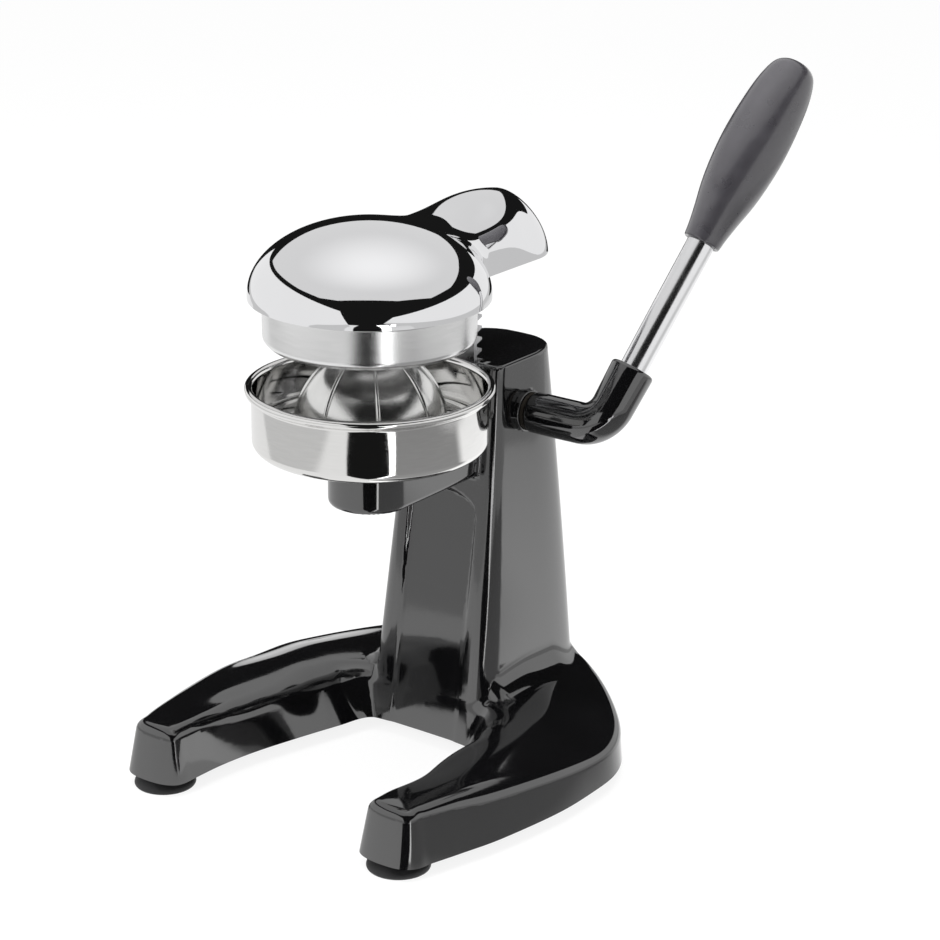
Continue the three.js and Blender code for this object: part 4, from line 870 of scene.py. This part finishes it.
add_ribs(strainer, RIB_COUNT)
strainer.data.shade_smooth()
strainer.data.set_sharp_from_angle(angle=math.radians(35))
finish_piece(strainer, cast_bright, "cast_strainer", "stand", "strainer_cone")

# Lever: elbow, tube and grip
SHAFT_AXIS = np.array([0, SHAFT_BACK, SHAFT_HEIGHT])
LEVER = np.array([LEVER_OUT, LEVER_BACK, math.sqrt(1 - LEVER_OUT ** 2 - LEVER_BACK ** 2)])
CORNER = SHAFT_AXIS + np.array([ELBOW_CORNER, 0, 0])

ELBOW_SIDES = 64
ELBOW_EDGE = 1.6
SHAFT_BORE = 6.3
TUBE_BORE = 6.7
BORE_DEPTH = 12
# How much of the widening towards the socket takes place in the bend
BEND_SHARE = 0.4


def elbow_mesh():
    """A round bar from the shaft's line bent into the lever's line, bored at both ends."""
    out = np.array([1.0, 0, 0])
    turn = math.acos(LEVER @ out)
    reach = ELBOW_BEND * math.tan(turn / 2)
    normal = LEVER - out * (LEVER @ out)
    normal /= np.linalg.norm(normal)
    side = np.cross(out, normal)
    enter = CORNER - out * reach
    stations = []
    straight = ELBOW_CORNER - reach - ELBOW_START
    edge = ELBOW_EDGE
    widening = SOCKET_RADIUS - ELBOW_RADIUS
    for k in range(7):
        a = math.pi / 2 * k / 6
        stations.append((enter - out * (straight - edge * (1 - math.cos(a))), out,
                         ELBOW_RADIUS - edge + edge * math.sin(a)))
    for k in range(1, 8):
        stations.append((enter - out * (straight - edge) * (1 - k / 8), out, ELBOW_RADIUS))
    for k in range(33):
        a = turn * k / 32
        centre = enter + out * ELBOW_BEND * math.sin(a) + normal * ELBOW_BEND * (1 - math.cos(a))
        tangent = out * math.cos(a) + normal * math.sin(a)
        stations.append((centre, tangent, ELBOW_RADIUS + widening * BEND_SHARE * k / 32))
    leave = CORNER + LEVER * reach
    length = SOCKET_END - reach
    for k in range(1, 8):
        share = k / 8
        stations.append((leave + LEVER * (length - edge) * share, LEVER,
                         ELBOW_RADIUS + widening * (BEND_SHARE + (1 - BEND_SHARE) * share)))
    for k in range(7):
        a = math.pi / 2 * k / 6
        stations.append((leave + LEVER * (length - edge * (1 - math.sin(a))), LEVER,
                         SOCKET_RADIUS - edge * (1 - math.cos(a))))
    count = ELBOW_SIDES
    angles = [2 * math.pi * j / count for j in range(count)]
    points, faces = [], []
    for centre, tangent, radius in stations:
        up = np.cross(tangent, side)
        points += [centre + radius * (side * math.cos(a) + up * math.sin(a)) for a in angles]
    for k in range(len(stations) - 1):
        for j in range(count):
            n = (j + 1) % count
            faces.append((k * count + j, k * count + n, (k + 1) * count + n, (k + 1) * count + j))

    # Open ends: a flat rim and the bore for the shaft and for the tube
    last = (len(stations) - 1) * count
    ends = ((0, SHAFT_AXIS + out * ELBOW_START, -out, SHAFT_BORE),
            (last, CORNER + LEVER * SOCKET_END, LEVER, TUBE_BORE))
    for first, centre, tangent, bore in ends:
        up = np.cross(tangent if first else -tangent, side)
        inner = len(points)
        for inwards in (0, BORE_DEPTH):
            middle = centre - tangent * inwards
            points += [middle + bore * (side * math.cos(a) + up * math.sin(a)) for a in angles]
        for j in range(count):
            n = (j + 1) % count
            faces.append((first + j, first + n, inner + n, inner + j))
            faces.append((inner + j, inner + n, inner + count + n, inner + count + j))
        faces.append(tuple(inner + count + j for j in range(count)))
    obj = new_object("elbow_body", points, faces)
    tidy_faces(obj)
    return obj


finish_piece(elbow_mesh(), enamel, "black_enamel", "lever", "lever_elbow")

TUBE_INNER = 4.9
TUBE_START = 16
TUBE_END = 171.7
tube = turned("tube_shell", [
    (TUBE_INNER, TUBE_START), (TUBE_RADIUS, TUBE_START, 0.3), (TUBE_RADIUS, TUBE_END, 0.3),
    (TUBE_INNER, TUBE_END),
], place=CORNER, axis=LEVER, turn=64, closed=True)
finish_piece(tube, tube_chrome, "tube_chrome", "lever", "lever_tube")

# Along the grip and across it, as shares of its length and its radius
GRIP_SHARES = [
    (0, 0.56), (0.02, 0.58), (0.07, 0.62), (0.15, 0.71), (0.25, 0.84), (0.33, 0.915), (0.42, 0.97),
    (0.52, 1), (0.62, 0.99), (0.71, 0.955), (0.8, 0.9), (0.87, 0.825), (0.93, 0.72), (0.965, 0.6),
    (0.987, 0.42), (0.997, 0.22), (1, 0),
]
GRIP_BORE = 6.7
GRIP_BORE_END = 172


def grip_profile():
    """The grip's half section: its bore, its open end and the smooth swell up to the closed end."""
    along, wide = np.array(GRIP_SHARES).T
    p = np.stack([wide * GRIP_RADIUS, GRIP_START + along * (GRIP_END - GRIP_START)], axis=1)
    p = np.vstack([2 * p[0] - p[1], p, [-p[-2][0], p[-2][1]]])
    result = [(0, GRIP_BORE_END), (GRIP_BORE, GRIP_BORE_END), (GRIP_BORE, GRIP_START + 0.6, 0.2),
              (8.2, GRIP_START, 0.5)]
    result += [(max(q[0], 0.01), q[1]) for q in curve_through(p, 5) if q[1] > GRIP_START + 0.4]
    return result + [(0, GRIP_END)]


grip = turned("grip_body", grip_profile(), place=CORNER, axis=LEVER, turn=96)
finish_piece(grip, grip_satin, "grip_plastic", "lever", "hand_grip")

# Screws with a socket in the head: the shank's radius, the head's radius and height, and the length
SCREWS = {"foot": (2.4, 4.6, 2.4, 15), "rack": (2.4, 4.4, 3, 14), "end": (3, 5.6, 3.6, 16)}


def screw(name, kind, node, body, place, axis):
    shank, head_radius, head_height, length = SCREWS[kind]
    socket = head_radius * 0.45
    piece = turned(name, [
        (0, -head_height * 0.4), (socket, -head_height * 0.45, 0.1), (socket, -head_height, 0.15),
        (head_radius * 0.85, -head_height, 0.3), (head_radius, -head_height * 0.7, 0.3),
        (head_radius, 0, 0.15), (shank, 0, 0.1), (shank, length - 1, 0.2), (shank * 0.7, length, 0.2),
        (0, length),
    ], place=place, axis=axis, turn=48)
    finish_piece(piece, machined, "machined_steel", body, node)


FOOT_SCREW_HEIGHT = 3.58
RACK_SCREW_SIDE = 6
RACK_SCREW_BACK = 67.1
RACK_SCREW_HEIGHT = 236.5
END_SCREW_SIDE = -33.2
WASHER_SIDE = -31.4
for where_name, (foot_x, foot_y) in FOOT_PLACES.items():
    screw(f"foot_bolt_{where_name}", "foot", f"foot_screw_{where_name}", "stand",
          (foot_x, foot_y, FOOT_SCREW_HEIGHT), (0, 0, 1))
for number, side_x in ((1, -RACK_SCREW_SIDE), (2, RACK_SCREW_SIDE)):
    screw(f"rack_bolt_{number}", "rack", f"rack_screw_{number}", "press",
          (side_x, RACK_SCREW_BACK, RACK_SCREW_HEIGHT), (0, -1, 0))
screw("end_bolt", "end", "shaft_end_screw", "lever", (END_SCREW_SIDE, SHAFT_BACK, SHAFT_HEIGHT), (1, 0, 0))
washer = turned("end_washer", [
    (3.3, 0), (8.6, 0, 0.3), (8.6, 1.5, 0.3), (3.3, 1.5),
], place=(WASHER_SIDE, SHAFT_BACK, SHAFT_HEIGHT), axis=(-1, 0, 0), turn=64, closed=True)
finish_piece(washer, machined, "machined_steel", "lever", "shaft_end_washer")

# CAD pieces that stay as they are, with their finish
KEPT = {"shaft_bush_right": bronze, "shaft_bush_left": bronze} | dict.fromkeys((
    "drive_shaft", "drive_pinion", "pinion_pin", "rack_bar", "elbow_grub_screw",
    "cup_screw_1", "cup_screw_2", "cup_screw_3",
), machined)
CHAMFER = 0.15
for node_name, finish in KEPT.items():
    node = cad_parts[node_name]
    node.data.materials.clear()
    node.data.materials.append(finish)
    chamfer = node.modifiers.new("edge", "BEVEL")
    chamfer.width = CHAMFER * UNIT
    chamfer.segments = 2
    chamfer.limit_method = "ANGLE"
    chamfer.angle_limit = math.radians(40)

# Camera of the photograph
CAMERA_PLACE = (738.673, -929.203, 570.683)
CAMERA_RIGHT = (0.80382023, 0.59483276, 0.00685723)
CAMERA_UP = (-0.20533856, 0.26662625, 0.94167219)
CAMERA_BACK = (0.55830915, -0.75834321, 0.33646168)
FOCAL_PIXELS = 2850
IMAGE_PIXELS = 940
camera_data = bpy.data.cameras.new("photo_camera")
camera_data.sensor_width = 36
camera_data.lens = FOCAL_PIXELS / IMAGE_PIXELS * camera_data.sensor_width
camera_data.clip_end = 20
camera = bpy.data.objects.new("photo_camera", camera_data)
bpy.context.scene.collection.objects.link(camera)
place = to_frame(CAMERA_PLACE)
camera.matrix_world = Matrix([
    [CAMERA_RIGHT[i], CAMERA_UP[i], CAMERA_BACK[i], place[i]] for i in range(3)
] + [[0, 0, 0, 1]])
bpy.context.scene.camera = camera

# Studio: a pale floor, white light all round and cards that the metal mirrors
TOWARDS = np.array([CAMERA_BACK[0], CAMERA_BACK[1], 0])
TOWARDS /= np.linalg.norm(TOWARDS)
RIGHTWARDS = np.array([-TOWARDS[1], TOWARDS[0], 0])


def combine(tree, operation, first, second):
    """What an operation makes of two outputs."""
    node = add_node(tree, "Math", operation)
    tree.links.new(first, node.inputs[0])
    tree.links.new(second, node.inputs[1])
    return node.outputs[0]


def ring_level(tree, middle, near, far, levels):
    """A level that goes softly from the first to the second between two distances from a place."""
    distance = add_node(tree, "VectorMath", "DISTANCE")
    distance.inputs[1].default_value = middle
    tree.links.new(add_node(tree, "TexCoord").outputs["Object"], distance.inputs[0])
    return remap(tree, distance.outputs["Value"], (near, far), levels, "SMOOTHSTEP")


def glow(name, strength, brighter=None, shade=None):
    """An emission, brighter (middle, reach, strength) or dimmed (middle, near, far, share) round a place."""
    material = bpy.data.materials.new(name)
    tree = empty_tree(material)
    light = add_node(tree, "Emission", Strength=strength)
    if brighter is not None:
        middle, reach, peak = brighter
        shown = ring_level(tree, middle, 0, reach, (peak, strength))
        if shade is not None:
            middle, near, far, share = shade
            shown = combine(tree, "MULTIPLY", shown, ring_level(tree, middle, near, far, (share, 1)))
        tree.links.new(shown, light.inputs["Strength"])
    tree.links.new(light.outputs[0], add_node(tree, "OutputMaterial").inputs["Surface"])
    return material


def studio_place(ahead, right, height):
    return ahead * TOWARDS + right * RIGHTWARDS + np.array([0, 0, height])


def card(name, corners, strength, brighter=None, shade=None, faces=None):
    """A card from corners (towards the camera, to its right, height); only mirrors see it."""
    points = [studio_place(*corner) for corner in corners]
    obj = new_object(name, points, faces or [tuple(range(len(points)))], smooth=False)
    obj.data.materials.append(glow(name, strength, brighter, shade))
    obj.visible_camera = obj.visible_diffuse = obj.visible_shadow = False


def seen_rays(tree):
    """One for what is seen straight, in a mirror or through something clear."""
    rays = add_node(tree, "LightPath")
    seen = rays.outputs["Is Camera Ray"]
    for kind in ("Is Glossy Ray", "Is Transmission Ray"):
        seen = combine(tree, "MAXIMUM", seen, rays.outputs[kind])
    return seen


def show_two(tree, amount, plain, bright, output):
    """Shows the plain shader with this amount of the bright one."""
    both = add_node(tree, "MixShader")
    tree.links.new(amount, both.inputs["Fac"])
    tree.links.new(plain.outputs[0], both.inputs[1])
    tree.links.new(bright.outputs[0], both.inputs[2])
    tree.links.new(both.outputs[0], add_node(tree, output).inputs["Surface"])


# Black cloth behind all the cards: the chrome has its dark bands from it
CLOTH_REACH = 3500
CLOTH_BOTTOM = -5
CLOTH_TOP = 3000
CLOTH_GLOW = 0.01
cloth_corners = [(ahead, right, height) for ahead in (-CLOTH_REACH, CLOTH_REACH)
                 for right in (-CLOTH_REACH, CLOTH_REACH) for height in (CLOTH_BOTTOM, CLOTH_TOP)]
card("black_cloth", cloth_corners, CLOTH_GLOW,
     faces=[(0, 1, 3, 2), (4, 6, 7, 5), (0, 4, 5, 1), (2, 3, 7, 6), (0, 2, 6, 4), (1, 5, 7, 3)])

# Canopy over the object, rising towards the camera and brightest in its middle
CANOPY_RISE = 0.262
CANOPY_HEIGHT = 568
CANOPY = [(484, -300), (484, 300), (261, 610), (-55, 523), (-309, 320), (-600, 150), (-600, -150),
          (-467, -378), (-280, -415), (73, -458), (346, -443)]
CANOPY_MIDDLE = (-20, 20)
CANOPY_GLOW = 0.78
CANOPY_PEAK = 1.08
CANOPY_PEAK_REACH = 330
canopy_spot = to_frame(studio_place(*CANOPY_MIDDLE, CANOPY_HEIGHT + CANOPY_RISE * CANOPY_MIDDLE[0]))
card("canopy", [(ahead, right, CANOPY_HEIGHT + CANOPY_RISE * ahead) for ahead, right in CANOPY], CANOPY_GLOW,
     (tuple(canopy_spot), CANOPY_PEAK_REACH * UNIT, CANOPY_PEAK))

# Side panels, each with a dimmer skirt where it meets the table, and a narrow window beside the right one
PANEL_GLOW = 0.95
SKIRT_GLOW = 0.65
SKIRT = 90
LEFT_PANEL = ((900, -250, -430, 595), (-2600, -1000, -1000, 595))
RIGHT_PANEL = ((1900, 480, 800, 495), (-1900, 650, 650, 495))
for panel_name, panel in (("left", LEFT_PANEL), ("right", RIGHT_PANEL)):
    foot, waist, head_edge = [], [], []
    for ahead, right_low, right_high, height in panel:
        foot.append((ahead, right_low, 0))
        waist.append((ahead, right_low + (right_high - right_low) * SKIRT / height, SKIRT))
        head_edge.append((ahead, right_high, height))
    card(f"{panel_name}_panel", waist + head_edge[::-1], PANEL_GLOW)
    card(f"{panel_name}_skirt", foot + waist[::-1], SKIRT_GLOW)
WINDOW_HEIGHT = 85
WINDOW_GLOW = 4.0
window_near, window_far = (880, 335), (850, 400)
card("window", [(*window_near, 0), (*window_far, 0), (*window_far, WINDOW_HEIGHT),
                (*window_near, WINDOW_HEIGHT)], WINDOW_GLOW)

# The table's sheen leaves out the side where the camera stands, dims away on the right and is weak where
# the legs mirror it; the window has a brighter strip in it
TABLE_REACH = 1300
TABLE_BACK = -900
TABLE_DARK = 180
SHEEN_HEIGHT = -1
SHEEN_MIDDLE = (0, 20, 0)
WINDOW_STRIP = [(500, 180), (1300, 180), (1300, 420), (500, 232), (190, 45), (190, 27)]
WINDOW_STRIP_GLOW = 3.5
LEG_SHADE_PLACE = (250, 350, 0)
LEG_SHADE_NEAR = 290
LEG_SHADE_FAR = 370
LEG_SHADE = 0.28
leg_place = tuple(to_frame(studio_place(*LEG_SHADE_PLACE)))
leg_shade = (leg_place, LEG_SHADE_NEAR * UNIT, LEG_SHADE_FAR * UNIT, LEG_SHADE)
for side, side_name, near, far, reach, shade in ((-1, "left", 0.97, 0.9, 900, None),
                                                 (1, "right", 1.3, 0.5, 1400, leg_shade)):
    border = [(130, 0), (0, 0), (TABLE_BACK, 0), (TABLE_BACK, side * TABLE_REACH),
              (TABLE_REACH, side * TABLE_REACH), (TABLE_REACH, side * TABLE_DARK), (500, side * TABLE_DARK)]
    card(f"table_glow_{side_name}", [(ahead, right, SHEEN_HEIGHT) for ahead, right in border], far,
         (tuple(to_frame(SHEEN_MIDDLE)), reach * UNIT, near), shade)
card("window_glow", [(ahead, right, SHEEN_HEIGHT / 2) for ahead, right in WINDOW_STRIP], WINDOW_STRIP_GLOW)

# Floor and background: white where they are seen, softer in the light that they give
WHITE = (1, 1, 1, 1)
FLOOR_REACH = 6000
FLOOR_GREY = 0.86
FLOOR_WHITE = 1.1
FLOOR_WHITE_SHARE = 0.78
SOFT_LIGHT = 0.6
floor_corners = [(x * FLOOR_REACH, y * FLOOR_REACH, 0) for x, y in ((-1, -1), (1, -1), (1, 1), (-1, 1))]
floor = new_object("floor", floor_corners, [(0, 1, 2, 3)], smooth=False)
floor.visible_glossy = False
paper = bpy.data.materials.new("paper")
paper_tree = empty_tree(paper)
share = add_node(paper_tree, "Math", "MULTIPLY")
share.inputs[1].default_value = FLOOR_WHITE_SHARE
paper_tree.links.new(seen_rays(paper_tree), share.inputs[0])
show_two(paper_tree, share.outputs[0],
         add_node(paper_tree, "BsdfDiffuse", Color=(FLOOR_GREY, FLOOR_GREY, FLOOR_GREY, 1)),
         add_node(paper_tree, "Emission", Strength=FLOOR_WHITE), "OutputMaterial")
floor.data.materials.append(paper)

world = bpy.data.worlds.new("studio")
bpy.context.scene.world = world
world_tree = empty_tree(world)
show_two(world_tree, seen_rays(world_tree),
         add_node(world_tree, "Background", Color=WHITE, Strength=SOFT_LIGHT),
         add_node(world_tree, "Background", Color=WHITE, Strength=1.0), "OutputWorld")

# Lamps
LAMP_TARGET = (0, 40, 120)


def lamp(name, spot, size, power):
    """A round soft lamp at a studio place, aimed at the object; mirrors don't show it."""
    data = bpy.data.lights.new(name, "AREA")
    data.shape = "DISK"
    data.size = size * UNIT
    data.energy = power
    obj = bpy.data.objects.new(name, data)
    bpy.context.scene.collection.objects.link(obj)
    where = to_frame(studio_place(*spot))
    obj.location = where
    target = Vector(to_frame(LAMP_TARGET))
    obj.rotation_euler = (target - Vector(where)).to_track_quat("-Z", "Y").to_euler()
    obj.visible_glossy = False


lamp("top_light", (-100, 60, 1100), 900, 9)
lamp("left_light", (500, -900, 600), 600, 5)

bpy.context.scene.view_settings.view_transform = "Standard"
